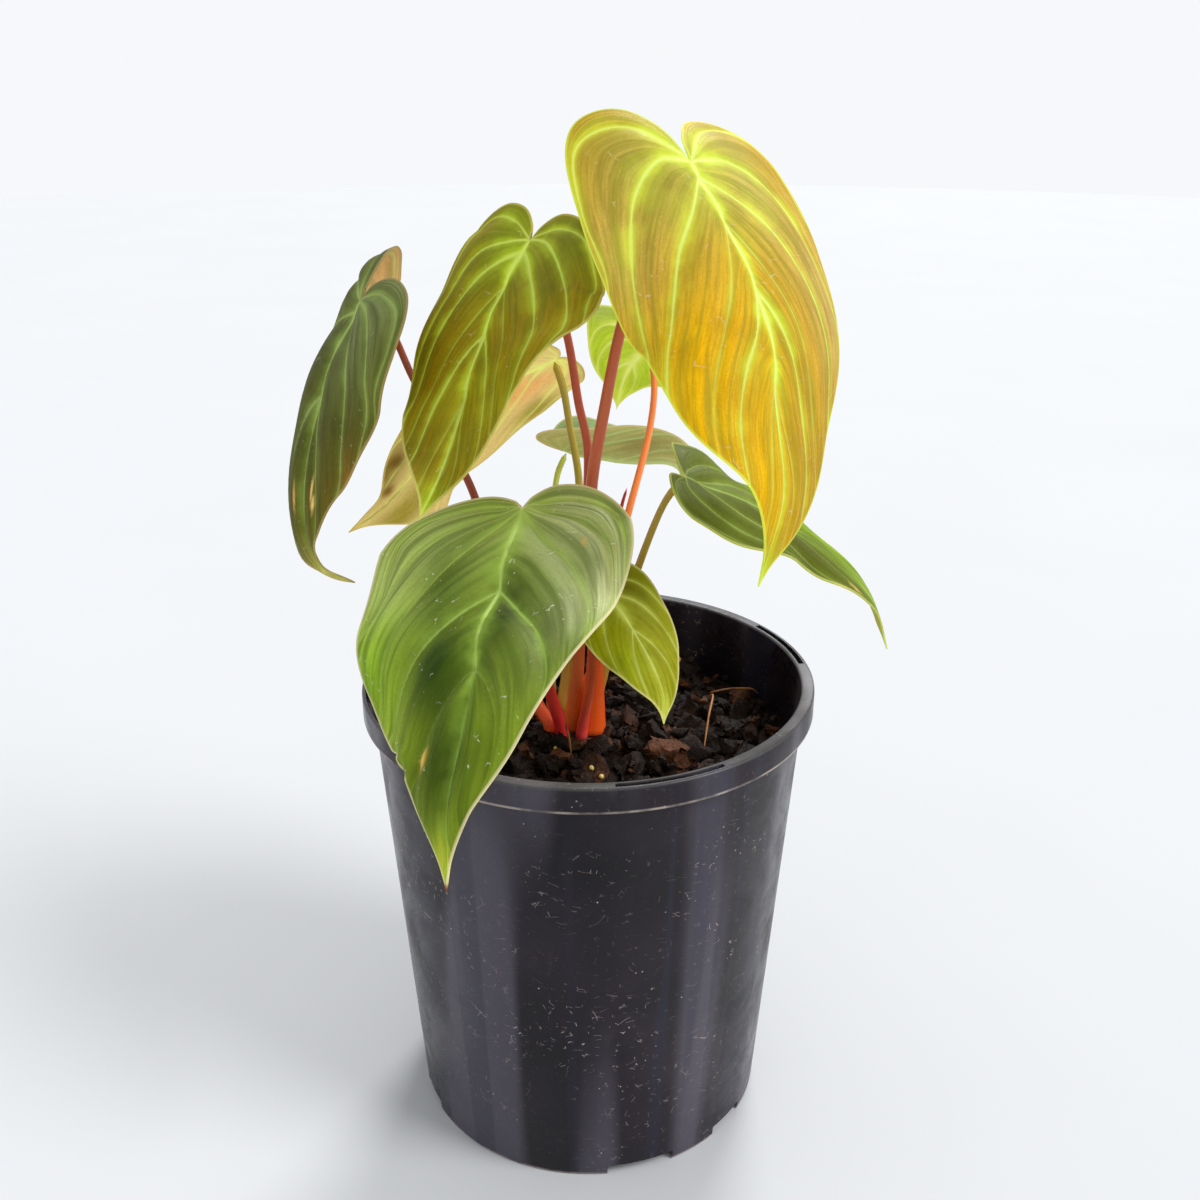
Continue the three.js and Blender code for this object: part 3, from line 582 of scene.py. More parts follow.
class BladeForm:
    """The surface of one blade: it folds at the midrib, curls towards the margins and waves along them."""

    def __init__(self, leaf, seed):
        self.leaf = leaf
        self.rib = Route(leaf.rib)
        self.length = self.rib.length
        self.draw = np.random.default_rng(seed)

    def frames(self, distances, side):
        """Origin, direction, up and across of the midrib, which runs on below zero into one side's lobe."""
        share = np.clip(distances / self.length, 0, 1)
        origin, along = self.rib.at(share * self.length)
        up = facing(*self.leaf.face) * (1 - share)[:, None] + facing(*self.leaf.tip_face) * share[:, None]
        up = unit(up - (up * along).sum(-1, keepdims=True) * along)
        across = np.cross(up, along)
        back = np.maximum(0, -distances)
        lobe_length = LOBE_SHARE * np.asarray(self.leaf.lobe)[side] * self.length
        turn = np.radians(self.leaf.lift)[side] * back / lobe_length
        origin = origin + along * (-back + LOBE_BEND * back * (1 - np.cos(turn)))[:, None]
        origin = origin + up * (LOBE_BEND * back * np.sin(turn))[:, None]
        return origin, along, up, across

    def place(self, out, distances, heights):
        """Points of the blade: out from the midrib, left below zero, along it, and off the middle surface."""
        side = (out > 0).astype(int)
        sign = np.where(side == 1, 1.0, -1.0)
        width = np.asarray(self.leaf.width, float)[side]
        fold = np.radians(self.leaf.fold)[side]
        bend = np.radians(self.leaf.curl)[side] / width
        reach = np.abs(out)
        slope = fold - bend * reach
        flat = np.abs(bend) < 1e-6
        divisor = np.where(flat, 1, bend)
        sideways = np.where(flat, reach * np.cos(fold), (np.sin(fold) - np.sin(slope)) / divisor)
        upwards = np.where(flat, reach * np.sin(fold), (np.cos(slope) - np.cos(fold)) / divisor)
        phase = np.where(side == 1, 0, WAVE_SHIFT)
        wave = np.sin(6 * math.pi * distances / self.length + phase)
        lift = heights + self.leaf.wave * (reach / width) ** 2 * wave
        lean = np.where(reach > 0, slope, 0)
        origin, _, up, across = self.frames(distances, side)
        origin = origin + across * (sign * (sideways - lift * np.sin(lean)))[:, None]
        return origin + up * (upwards + lift * np.cos(lean))[:, None]

    def shaped(self, points, side):
        """Places on the plain heart, moved as one side's lobe length, taper, dents and sweep ask."""
        leaf = self.leaf
        lobe, taper, sweep = (np.asarray(pair, float)[side] for pair in (leaf.lobe, leaf.taper, leaf.sweep))
        along = np.where(points[:, 1] < 0, points[:, 1] * lobe, points[:, 1])
        ahead = np.maximum(0, along)
        out = np.maximum(points[:, 0], 0) * (1 - taper * ahead)
        for dented, place, depth, span in leaf.dents:
            out = out * np.where(side == dented, 1 - depth * np.exp(-(((along - place) / span) ** 2)), 1)
        return out, along + sweep * out**2 * (1 - ahead)

    def spread(self, columns, rows):
        """Places on the heart for columns, -1 to 1 across, and rows, 0 to 1 from the stalk to the tip."""
        side = (columns > 0).astype(int)
        places = rows * (len(HALF_HEART) - 1)
        edge_out, edge_along = self.shaped(spline(HALF_HEART, places), side)
        partner = spline(np.array(RIB_PARTNERS)[:, None], places)[:, 0]
        reach = np.abs(columns)
        return columns * edge_out, (1 - reach) * partner + reach * edge_along

    def vein_lines(self, side):
        """The outline, the side veins and the midrib of one half as flat polylines in millimetres."""
        scale = np.array([self.leaf.width[side], self.length])
        drawn = [spline(HALF_HEART, np.linspace(0, len(HALF_HEART) - 1, OUTLINE_POINTS))]
        pattern, numbers = self.leaf.veins
        for number in numbers:
            shifted = np.array(SIDE_VEINS[pattern][number][1], float)
            shifted[:, 0] *= 1 + VEIN_SHIFTS[0] * self.draw.uniform(-1, 1)
            shifted[1:, 1] += VEIN_SHIFTS[1] * self.draw.uniform(-1, 1)
            drawn.append(spline(shifted, np.linspace(0, len(shifted) - 1, VEIN_POINTS)))
        drawn.append(np.stack([np.zeros(RIB_POINTS), np.linspace(0, 1, RIB_POINTS)], -1))
        return [np.stack(self.shaped(line, side), -1) * scale for line in drawn]

    def vein_fields(self, out, along):
        """What the finish and the relief need to know of the veins at each place of the blade."""
        names = ("vein", "power", "stream", "middle", "edge", "room")
        fields = {name: np.zeros(len(out)) for name in names}
        pattern, numbers = self.leaf.veins
        strengths = np.array([SIDE_VEINS[pattern][number][0] for number in numbers] + [MIDRIB_STRENGTH])
        for side in (0, 1):
            chosen = out > 0 if side == 1 else out <= 0
            flat = np.stack([np.abs(out[chosen]) * self.leaf.width[side], along[chosen] * self.length], -1)
            measured = [from_line(flat, line) for line in self.vein_lines(side)]
            gaps = np.array([gap for gap, _, _ in measured])
            sides = np.array([way > 0 for _, way, _ in measured[1:-1]])
            shares = np.array([share for _, _, share in measured[1:]])
            band = sides.sum(0)
            rows = np.arange(band.size)
            outer, inner = gaps[band, rows], gaps[band + 1, rows]
            weight = 1 / (gaps[1:] + VEIN_BLEND) ** 4
            faded = strengths[:, None] * (1 - VEIN_FADE * shares)
            fields["vein"][chosen] = np.where(band % 2 == 0, 1, -1) * gaps[1:].min(0)
            fields["power"][chosen] = (weight * faded).sum(0) / weight.sum(0)
            fields["stream"][chosen] = band + outer / np.maximum(outer + inner, 1e-6)
            fields["middle"][chosen] = (outer - inner) / 2
            fields["edge"][chosen] = gaps[0]
            fields["room"][chosen] = outer + inner
        return fields

    def relief(self, fields, from_stalk, vein_depth):
        """Millimetres off the middle surface: the blade swells between sunken veins."""
        share = fields["stream"] % 1
        room = np.minimum(1, fields["room"] / FULL_PLEAT_WIDTH)
        swell = np.sin(math.pi * share) ** PLEAT_FULLNESS * room
        crease = CREASE_SHARE * np.exp(-((fields["middle"] / CREASE_WIDTH) ** 2)) * room
        groove = fields["power"] * np.exp(-((fields["vein"] / GROOVE_WIDTH) ** 2))
        quiet = smooth(fields["edge"], 0, FLAT_MARGIN) * smooth(from_stalk, *FLAT_STALK)
        return (self.leaf.pleat * (swell - 0.5 - crease) - vein_depth * groove) * quiet

    def tints(self, face, patches_and_painted_light, out, along):
        """One face's own colour at each place, with its soft spots of another colour, some of them painted
        sheen and painted shade.
        """
        colours = np.tile(np.array(tone(*face)), (len(out), 1))
        for centre_out, centre_along, reach, colour in patches_and_painted_light:
            away = (out - centre_out) ** 2 + (PATCH_SHAPE * (along - centre_along)) ** 2
            amount = np.exp(-away / reach**2)[:, None]
            colours = colours * (1 - amount) + np.array(tone(*colour)) * amount
        return colours

    def scarring(self, out, along):
        """Colour and strength of the small scars."""
        colours = np.zeros((len(out), 3))
        strength = np.zeros(len(out))
        for centre_out, centre_along, wide, long, colour in self.leaf.scars:
            away = ((out - centre_out) / wide) ** 2 + ((along - centre_along) / long) ** 2
            amount = np.exp(-(away**1.5))
            colours = np.where((amount > strength)[:, None], np.array(tone(*colour)), colours)
            strength = np.maximum(strength, amount)
        return colours, strength


# Objects and meshes

SECTOR_COLUMNS = 12
ROUNDING_STEPS = 4
FEWEST_STEPS = 12
TUBE_SIDE = np.array([1.0, 0.15, 0.0])
TUBE_GROOVE_DEPTH = 0.10
TUBE_GROOVE_WIDTH = 0.5
TUBE_RIDGES = 5
TUBE_RIDGE_HEIGHT = 0.02


def deselect():
    if bpy.context.object and bpy.context.object.mode != "OBJECT":
        bpy.ops.object.mode_set(mode="OBJECT")
    bpy.ops.object.select_all(action="DESELECT")


def take(piece):
    """Makes one object the only selected one."""
    deselect()
    piece.select_set(True)
    bpy.context.view_layer.objects.active = piece


def named(name):
    """Names the primitive that was just added."""
    piece = bpy.context.object
    piece.name = name
    piece.data.name = name
    return piece


def add_grid(name, columns, rows):
    deselect()
    bpy.ops.mesh.primitive_grid_add(x_subdivisions=columns, y_subdivisions=rows, size=2)
    return named(name)


def corners(piece):
    places = np.zeros(len(piece.data.vertices) * 3)
    piece.data.vertices.foreach_get("co", places)
    return places.reshape(-1, 3)


def move_corners(piece, places):
    piece.data.vertices.foreach_set("co", np.asarray(places, float).ravel())
    piece.data.update()


def store(piece, name, values):
    """Keeps a number or a colour on each corner, for the finish to read."""
    values = np.asarray(values, float)
    if values.ndim == 1:
        piece.data.attributes.new(name, "FLOAT", "POINT").data.foreach_set("value", values)
    else:
        full = np.hstack([values, np.ones((len(values), 1))])
        piece.data.attributes.new(name, "FLOAT_COLOR", "POINT").data.foreach_set("color", full.ravel())


def stored(piece, name):
    layer = piece.data.attributes[name]
    values = np.zeros(len(layer.data))
    layer.data.foreach_get("value", values)
    return values


def edit_all(piece):
    take(piece)
    bpy.ops.object.mode_set(mode="EDIT")
    bpy.ops.mesh.select_mode(type="FACE")
    bpy.ops.mesh.select_all(action="SELECT")


def weld(piece, flip=False, consistent=False):
    """Merges corners that lie on each other and sets which way the faces point."""
    edit_all(piece)
    bpy.ops.mesh.remove_doubles(threshold=1e-6)
    if consistent:
        bpy.ops.mesh.normals_make_consistent(inside=False)
    if flip:
        bpy.ops.mesh.flip_normals()
    bpy.ops.object.mode_set(mode="OBJECT")


def smooth_shade(piece, degrees):
    take(piece)
    bpy.ops.object.shade_smooth_by_angle(angle=math.radians(degrees))


def apply_modifier(piece, kind, **settings):
    take(piece)
    modifier = piece.modifiers.new(kind.lower(), kind)
    for key, value in settings.items():
        setattr(modifier, key, value)
    bpy.ops.object.modifier_apply(modifier=modifier.name)


def join(pieces, name):
    deselect()
    for piece in pieces:
        piece.select_set(True)
    bpy.context.view_layer.objects.active = pieces[0]
    bpy.ops.object.join()
    return named(name)


def finish_piece(piece, finishes, replaced, degrees):
    """Shades a piece, gives it its finishes and its body, and hides the solids that it stands for."""
    smooth_shade(piece, degrees)
    bpy.ops.object.transform_apply(location=True, rotation=True, scale=True)
    if finishes:
        piece.data.materials.clear()
        for finish in finishes:
            piece.data.materials.append(finish)
    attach(piece, BODY)
    if replaced:
        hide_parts(*replaced)


def turned(name, profile, sides):
    """A solid of revolution: a filled circle, extruded ring by ring along the profile. The ends are flat."""
    deselect()
    radius, height = profile[0]
    bpy.ops.mesh.primitive_circle_add(vertices=sides, radius=radius * MM, fill_type="NGON")
    piece = named(name)
    edit_all(piece)
    bpy.ops.transform.translate(value=(0, 0, height * MM))
    for next_radius, next_height in profile[1:]:
        rise = (next_height - height) * MM
        bpy.ops.mesh.extrude_region_move(TRANSFORM_OT_translate={"value": (0, 0, rise)})
        scale = next_radius / radius
        bpy.ops.transform.resize(value=(scale, scale, 1), center_override=(0, 0, next_height * MM))
        radius, height = next_radius, next_height
    bpy.ops.object.mode_set(mode="OBJECT")
    weld(piece, consistent=True)
    return piece


def rounded(profile, radius):
    """A profile with its inner corners rounded."""
    points = [np.array(point, float) for point in profile]
    out = [points[0]]
    for before, corner, after in zip(points, points[1:], points[2:]):
        reach = min(radius, 0.45 * np.linalg.norm(before - corner), 0.45 * np.linalg.norm(after - corner))
        start = corner + unit(before - corner) * reach
        end = corner + unit(after - corner) * reach
        for t in np.linspace(0, 1, ROUNDING_STEPS + 1):
            out.append((1 - t) ** 2 * start + 2 * t * (1 - t) * corner + t * t * end)
    out.append(points[-1])
    return [tuple(point) for point in out]


def ring_sector(name, radii, degrees, heights):
    """A block bent round the pot's axis."""
    piece = add_grid(name, SECTOR_COLUMNS, 1)
    places = corners(piece)
    angle = np.radians(degrees[0] + (degrees[1] - degrees[0]) * (places[:, 0] + 1) / 2)
    radius = (radii[0] + (radii[1] - radii[0]) * (places[:, 1] + 1) / 2) * MM
    low = np.full(len(places), heights[0] * MM)
    move_corners(piece, np.stack([radius * np.cos(angle), radius * np.sin(angle), low], -1))
    edit_all(piece)
    bpy.ops.mesh.extrude_region_move(TRANSFORM_OT_translate={"value": (0, 0, (heights[1] - heights[0]) * MM)})
    bpy.ops.object.mode_set(mode="OBJECT")
    weld(piece, consistent=True)
    return piece


def tube(name, points, radius_at, sides, step):
    """A closed tube along points in millimetres. radius_at gives the two half widths for each distance."""
    route = Route(points)
    count = max(FEWEST_STEPS, math.ceil(route.length * MM / step))
    piece = add_grid(name, sides, count)
    places = corners(piece)
    share = (places[:, 1] + 1) / 2
    distances = share * route.length
    angle = math.pi * (places[:, 0] + 1)
    centre, along = route.at(distances)
    normal = unit(TUBE_SIDE - (TUBE_SIDE * along).sum(-1, keepdims=True) * along)
    other = np.cross(along, normal)
    wide, deep = radius_at(distances, route.length)
    from_groove = np.angle(np.exp(1j * (angle - math.pi / 2)))
    groove = 1 - TUBE_GROOVE_DEPTH * np.exp(-((from_groove / TUBE_GROOVE_WIDTH) ** 2))
    ridges = groove * (1 + TUBE_RIDGE_HEIGHT * np.cos(TUBE_RIDGES * angle))
    offset = normal * (wide * ridges * np.cos(angle))[:, None]
    offset = offset + other * (deep * ridges * np.sin(angle))[:, None]
    move_corners(piece, (centre + offset) * MM)
    store(piece, "along", share)
    store(piece, "round", angle)
    weld(piece, consistent=True)
    return piece


# Finishes

LAMINA_SHADE = (0.55, 0.5, 0.42)
LAMINA_LIGHT = (1.28, 1.22, 1.05)
LIGHT_THROUGH = {"upper": (1.3, 1.35, 0.5), "under": (1.1, 1.1, 0.75)}
VEIN_SHINE = (0.88, 0.97, 0.55)
PALE_DUST = (0.75, 0.76, 0.7)
STALK_LINE = (0.62, 0.42, 0.08)
PLASTIC_CLOUD = (50, 42, 50)
# Painted reflections on the pot's wall: a lighter broad band and a darker bluish narrow band
PLASTIC_PAINTED_LIGHT_BAND = (78, 74, 84)
PLASTIC_PAINTED_DARK_BAND = (36, 38, 52)
PLASTIC_SMUDGE = (110, 102, 106)
PLASTIC_WORN = (205, 190, 178)
# The rim's flat top: partly pale dust, partly a painted highlight
PLASTIC_RIM_DUST_AND_HIGHLIGHT = (88, 88, 90)
# Scale, stretch and width of the two nets of scratches, and the height where they are densest
PLASTIC_SCRATCHES = ((150, (1, 1, 2.6), 0.012), (95, (1, 1, 0.8), 0.009))
PLASTIC_BELT = 0.085
BARK_GRAIN_AND_HIGHLIGHT = (120, 90, 72)
BARK_CRACK_SHADE = (10, 8, 8)


class Wire:
    """A value on its way through a finish's nodes, to reckon with like a number."""

    def __init__(self, finish, socket):
        self.finish = finish
        self.socket = socket

    def reckon(self, operation, other=0.0):
        return self.finish.node("ShaderNodeMath", {0: self, 1: other}, operation=operation)

    def __add__(self, other):
        return self.reckon("ADD", other)

    def __sub__(self, other):
        return self.reckon("SUBTRACT", other)

    def __mul__(self, other):
        return self.reckon("MULTIPLY", other)

    def __truediv__(self, other):
        return self.reckon("DIVIDE", other)

    def __abs__(self):
        return self.reckon("ABSOLUTE")

    def ramp(self, low, high, to_low=0.0, to_high=1.0):
        """A soft step from to_low at low to to_high at high."""
        inputs = {"Value": self, "From Min": low, "From Max": high, "To Min": to_low, "To Max": to_high}
        return self.finish.node("ShaderNodeMapRange", inputs, interpolation_type="SMOOTHSTEP")

    def mix(self, colour, amount, blend="MIX"):
        """This colour with another one laid over it."""
        return self.finish.mix(self, colour, amount, blend)


class Finish:
    """One material, with short ways to add and join its nodes."""

    def __init__(self, name, roughness, specular):
        self.material = bpy.data.materials.new(name)
        self.material.use_nodes = True
        self.tree = self.material.node_tree
        self.shader = self.tree.nodes["Principled BSDF"]
        self.connect(Roughness=roughness, Specular_IOR_Level=specular)

    def feed(self, socket, value):
        """Links a wire to a socket, or sets a plain value on it."""
        if isinstance(value, Wire):
            self.tree.links.new(value.socket, socket)
        elif socket.type == "RGBA" and len(value) == 3:
            socket.default_value = (*value, 1)
        else:
            socket.default_value = value

    def connect(self, **inputs):
        """Feeds the shader. A value that is the same all over goes straight on its socket."""
        for key, value in inputs.items():
            self.feed(self.shader.inputs[key.replace("_", " ")], value)

    def node(self, kind, inputs, output=0, **settings):
        node = self.tree.nodes.new(kind)
        for key, value in settings.items():
            setattr(node, key, value)
        for key, value in inputs.items():
            self.feed(node.inputs[key], value)
        return Wire(self, node.outputs[output])

    def read(self, name, output="Fac"):
        return self.node("ShaderNodeAttribute", {}, output, attribute_name=name)

    def position(self):
        return self.node("ShaderNodeTexCoord", {}, "Object")

    def vector(self, x, y, z):
        return self.node("ShaderNodeCombineXYZ", {"X": x, "Y": y, "Z": z})

    def stretched(self, vector, scale):
        return self.node("ShaderNodeVectorMath", {0: vector, 1: scale}, operation="MULTIPLY")

    def noise(self, scale, detail=2.0, roughness=0.5, vector=None, distortion=0.0, output="Fac"):
        inputs = {"Scale": scale, "Detail": detail, "Roughness": roughness, "Distortion": distortion}
        return self.node("ShaderNodeTexNoise", {"Vector": vector or self.position(), **inputs}, output)

    def cells(self, scale, vector=None, feature="F1"):
        inputs = {"Vector": vector or self.position(), "Scale": scale}
        return self.node("ShaderNodeTexVoronoi", inputs, "Distance", feature=feature)

    def mix(self, first, second, amount, blend="MIX"):
        """The second colour over the first one. A mix node for colours has them on inputs 6 and 7."""
        inputs = {6: first, 7: second, "Factor": amount}
        return self.node("ShaderNodeMix", inputs, 2, data_type="RGBA", blend_type=blend)

    def join(self, first, second, amount):
        """Two shaders, mixed."""
        return self.node("ShaderNodeMixShader", {0: amount, 1: first, 2: second})

    def bump(self, height, distance, strength):
        return self.node("ShaderNodeBump", {"Height": height, "Distance": distance, "Strength": strength})


def scaled(colour, amount):
    return tuple(min(1, channel * amount) for channel in colour)


def blade_finish(leaf, face, settings):
    """A velvety face: soft streaks between glowing veins, painted shade beside the veins where the blade
    folds, and a pale margin. Light passes through it.
    """
    glow = leaf.glow
    finish = Finish(f"{leaf.name}_{face}_face", 0.55, 0.1)
    half = finish.read("out").reckon("GREATER_THAN") * 7.0
    stream, along = finish.read("stream"), finish.read("along")

    def flow(across_scale, along_scale):
        return finish.vector(stream * across_scale, along * along_scale, half)

    lanes = finish.noise(1.0, 2.0, 0.5, flow(5.0, 3.2), 0.5)
    streaks = finish.noise(1.0, 3.0, 0.6, flow(15.0, 11.0), 0.5)
    mottle = finish.noise(1500, 2.0, 0.6)
    clouds = finish.noise(85, 3.0, 0.55)
    colour = finish.read(f"{face}_tint", "Color")
    shade = colour.mix(LAMINA_SHADE, 1.0, "MULTIPLY")
    light = colour.mix(LAMINA_LIGHT, 1.0, "MULTIPLY")
    colour = colour.mix(tone(*leaf.streak), lanes.ramp(0.42, 0.66, 0.0, 0.6 if face == "upper" else 0.3))
    colour = colour.mix(light, lanes.ramp(0.28, 0.44, 0.55, 0.0))
    colour = colour.mix(shade, streaks.ramp(0.42, 0.7, 0.0, 0.5 * leaf.grain))
    colour = colour.mix(light, streaks.ramp(0.3, 0.45, 0.4 * leaf.grain, 0.0))
    # Painted shade on one side of each vein, where the blade folds; stronger on leaves with deeper pleats
    painted_fold_shade = min(0.45, 0.12 + 0.12 * leaf.pleat)
    colour = colour.mix(shade, stream.reckon("FRACT").ramp(0.0, 0.45, painted_fold_shade, 0.0))
    colour = colour.mix(shade, clouds.ramp(0.45, 0.75, 0.0, 0.25))
    colour = colour.mix(shade, mottle.ramp(0.4, 0.7, 0.0, 0.22))

    vein_colour = tone(*leaf.vein)
    power = finish.read("power")
    away = abs(finish.read("vein")) * clouds.ramp(0.3, 0.7, 0.7, 1.5)
    leaf_scale = min(1, sum(leaf.width) / 70)
    core = (away / (power * (settings.vein_width / MM * leaf_scale) + 0.1)).ramp(0.1, 1.7, 1.0, 0.0)
    far = away / (power * (settings.halo_width / MM * leaf_scale) + 0.3)
    halo = far.ramp(0.0, 1.0, 0.28 + 0.22 * glow, 0.0) + far.ramp(0.0, 2.6, 0.12 + 0.15 * glow, 0.0)
    colour = colour.mix(vein_colour, halo * clouds.ramp(0.3, 0.7, 1.2, 0.55) * power)
    bright_vein = finish.mix(vein_colour, VEIN_SHINE, 0.15 + 0.25 * glow)
    colour = colour.mix(bright_vein, core * power * (0.42 + 0.5 * glow))
    margin = settings.margin_width / MM
    colour = colour.mix(tone(*leaf.margin), finish.read("edge").ramp(0.3 * margin, 1.3 * margin, 0.65, 0.0))
    if leaf.scars:
        colour = colour.mix(finish.read("scar_tint", "Color"), finish.read("scar"))
    specks = finish.cells(300).ramp(0.05, 0.11, 1.0, 0.0)
    scratches = finish.cells(120, None, "DISTANCE_TO_EDGE").ramp(0.006, 0.02, 1.0, 0.0)
    scratches = scratches * finish.noise(330).ramp(0.56, 0.62)
    dust = specks.reckon("MAXIMUM", scratches) * clouds.ramp(0.5, 0.6, 0.0, 0.8 * leaf.dust)
    colour = colour.mix(PALE_DUST, dust)

    bump = finish.bump(streaks * 0.5 + mottle * 0.4, 0.0002, 0.6)
    finish.connect(
        Base_Color=colour, Roughness=mottle.ramp(0.3, 0.7, 0.42, 0.6), Normal=bump,
        Sheen_Weight=0.04, Sheen_Roughness=0.4, Sheen_Tint=scaled(tone(*leaf.upper), 2.2),
    )

    # The blade is a thin sheet with two faces: light is scattered by the face it meets and leaves by the
    # other one, which lets it straight out from inside.
    warm = colour.mix(LIGHT_THROUGH[face], 1.0, "MULTIPLY")
    through = finish.node("ShaderNodeBsdfTranslucent", {"Color": warm, "Normal": bump})
    sheet = finish.join(Wire(finish, finish.shader.outputs[0]), through, 0.32 + 0.14 * glow)
    inside = finish.node("ShaderNodeNewGeometry", {}, "Backfacing")
    clear = finish.node("ShaderNodeBsdfTransparent", {})
    finish.feed(finish.tree.nodes["Material Output"].inputs["Surface"], finish.join(sheet, clear, inside))
    return finish.material


def stalk_finish(name, colours):
    """A smooth juicy stalk that changes colour from the crown to the blade."""
    finish = Finish(name, 0.36, 0.5)
    along = finish.read("along")
    base, top = (tone(*colour) for colour in colours)
    colour = finish.mix(base, top, (finish.noise(60) * 0.12 + along).ramp(0.06, 0.42))
    lines = finish.noise(1.0, 3.0, 0.6, finish.vector(finish.read("round") * 5.0, along * 9.0, 0.0))
    colour = colour.mix(colour.mix(STALK_LINE, 0.5), lines.ramp(0.45, 0.75, 0.0, 0.35))
    freckle = finish.noise(900, 3.0, 0.7)
    colour = colour.mix(scaled(top, 0.5), freckle.ramp(0.5, 0.75, 0.0, 0.25))
    finish.connect(
        Base_Color=colour, Roughness=freckle.ramp(0.3, 0.8, 0.3, 0.5), Normal=finish.bump(lines, 0.0002, 0.5),
        Subsurface_Weight=0.3, Subsurface_Scale=0.002,
    )
    return finish.material


def plastic_finish(settings):
    """Black moulded plastic with scratches, smudges, dust and worn edges, painted reflections in bands up its
    wall, and a rim top lightened by dust and a painted highlight.
    """
    finish = Finish("black_plastic", settings.roughness, 0.22)
    place = finish.position()
    x, y, z = (finish.node("ShaderNodeSeparateXYZ", {"Vector": place}, axis) for axis in range(3))
    smudge = finish.noise(55, 5.0, 0.65, None, 0.6)
    clouds = finish.noise(22, 4.0, 0.6).ramp(0.35, 0.7, 0.0, 0.45)
    colour = finish.mix(tuple(settings.plastic), tone(*PLASTIC_CLOUD), clouds)
    # Painted reflections: a broad lighter band and a narrow darker bluish band run up the wall. The angle
    # jumps at the back of the pot, so the bands fade out towards it.
    turn = x.reckon("ARCTAN2", y * -1.0)
    kept = abs(turn).ramp(2.2, 3.0, 1.0, 0.0)
    broad = finish.noise(1.0, 1.0, 0.5, finish.vector(turn * 2.2, z * 4.0, 4.3)).ramp(0.44, 0.56, 0.0, 0.75)
    painted_dark_band = finish.noise(1.0, 2.0, 0.5, finish.vector(turn * 9.0, z * 4.0, 1.7)).ramp(0.5, 0.62, 0.0, 0.45)
    colour = colour.mix(tone(*PLASTIC_PAINTED_LIGHT_BAND), broad * kept)
    colour = colour.mix(tone(*PLASTIC_PAINTED_DARK_BAND), painted_dark_band * kept)
    colour = colour.mix(tone(*PLASTIC_SMUDGE), smudge.ramp(0.58, 0.8, 0.0, 0.2 * settings.wear))

    drift = finish.stretched(finish.noise(70.0, 1.0, vector=place, output="Color"), (0.02, 0.02, 0.008))
    bent = finish.node("ShaderNodeVectorMath", {0: place, 1: drift}, operation="ADD")
    nets = []
    for scale, stretch, width in PLASTIC_SCRATCHES:
        net = finish.cells(scale, finish.stretched(bent, stretch), "DISTANCE_TO_EDGE")
        nets.append(net.ramp(0.4 * width, 1.5 * width, 1.0, 0.0))
    broken = finish.noise(400).ramp(0.56, 0.62) * finish.noise(28).ramp(0.42, 0.6, 0.15, 1.0)
    belt = abs(z - PLASTIC_BELT).ramp(0.02, 0.055, 1.0, 0.35)
    scratches = nets[0].reckon("MAXIMUM", nets[1]) * broken * belt
    specks = finish.cells(420).ramp(0.06, 0.14, 1.0, 0.0) * finish.noise(160).ramp(0.60, 0.66)

    # The worn lines: the collar's lower edge and the foot
    outside = (x * x + y * y).reckon("SQRT").ramp((POT_RIM_RADIUS - 1.2) * MM, (POT_RIM_RADIUS - 0.6) * MM)
    edge_height = (POT_HEIGHT - COLLAR_HEIGHT + 0.5) * MM
    edge_line = abs(z - edge_height).ramp(0.0002, 0.0007, 1.0, 0.0) * outside
    worn = edge_line.reckon("MAXIMUM", z.ramp(0.0004, 0.0013, 0.8, 0.0))
    worn = worn * finish.noise(120, 3.0).ramp(0.35, 0.6, 0.15, 0.8)
    marks = scratches.reckon("MAXIMUM", specks).reckon("MAXIMUM", worn)
    colour = colour.mix(tone(*PLASTIC_WORN), marks * settings.wear)
    # The rim's top is lighter: partly pale dust, partly a painted highlight where light falls on it
    rim_dust_and_highlight = z.ramp((POT_HEIGHT - 0.9) * MM, (POT_HEIGHT - 0.1) * MM, 0.0, 0.4)
    colour = colour.mix(tone(*PLASTIC_RIM_DUST_AND_HIGHLIGHT), rim_dust_and_highlight)

    rough = smudge.ramp(0.35, 0.7, settings.roughness - 0.06, settings.roughness + 0.14) + marks * 0.3
    waves = finish.noise(16, 1.0, 0.5, finish.stretched(place, (1, 1, 0.12)))
    height = finish.noise(900, 3.0, 0.6) * 0.012 + (marks * 0.03 + waves)
    finish.connect(Base_Color=colour, Roughness=rough, Normal=finish.bump(height, 0.0018, 0.55))
    return finish.material


def bark_finish(name, settings, redness):
    """Damp composted bark: near black, with redder fresh faces and fibres, pale grain flecks with painted
    highlights, and painted shade in its cracks.
    """
    finish = Finish(name, 0.7, 0.15)
    fibres = finish.noise(420, 4.0, 0.7, finish.stretched(finish.position(), (1, 0.35, 1)), 0.4)
    grain = finish.noise(1300, 4.0, 0.7)
    fresh = (fibres * 0.5 + finish.read("shade") * 0.6).ramp(0.42, 0.82, 0.0, redness)
    colour = finish.mix(tuple(settings.dark_bark), tuple(settings.red_bark), fresh)
    # Pale flecks where the fine grain is high: partly the grain's colour, partly painted highlights
    colour = colour.mix(tone(*BARK_GRAIN_AND_HIGHLIGHT), grain.ramp(0.58, 0.8, 0.0, 0.22))
    # Near black where the fibre noise is low: painted shade in the bark's cracks
    colour = colour.mix(tone(*BARK_CRACK_SHADE), fibres.ramp(0.25, 0.45, 0.8, 0.0))
    bump = finish.bump(grain * 0.45 + fibres, 0.0016, 1.0)
    finish.connect(Base_Color=colour, Roughness=grain.ramp(0.3, 0.7, 0.45, 0.85), Normal=bump)
    return finish.material


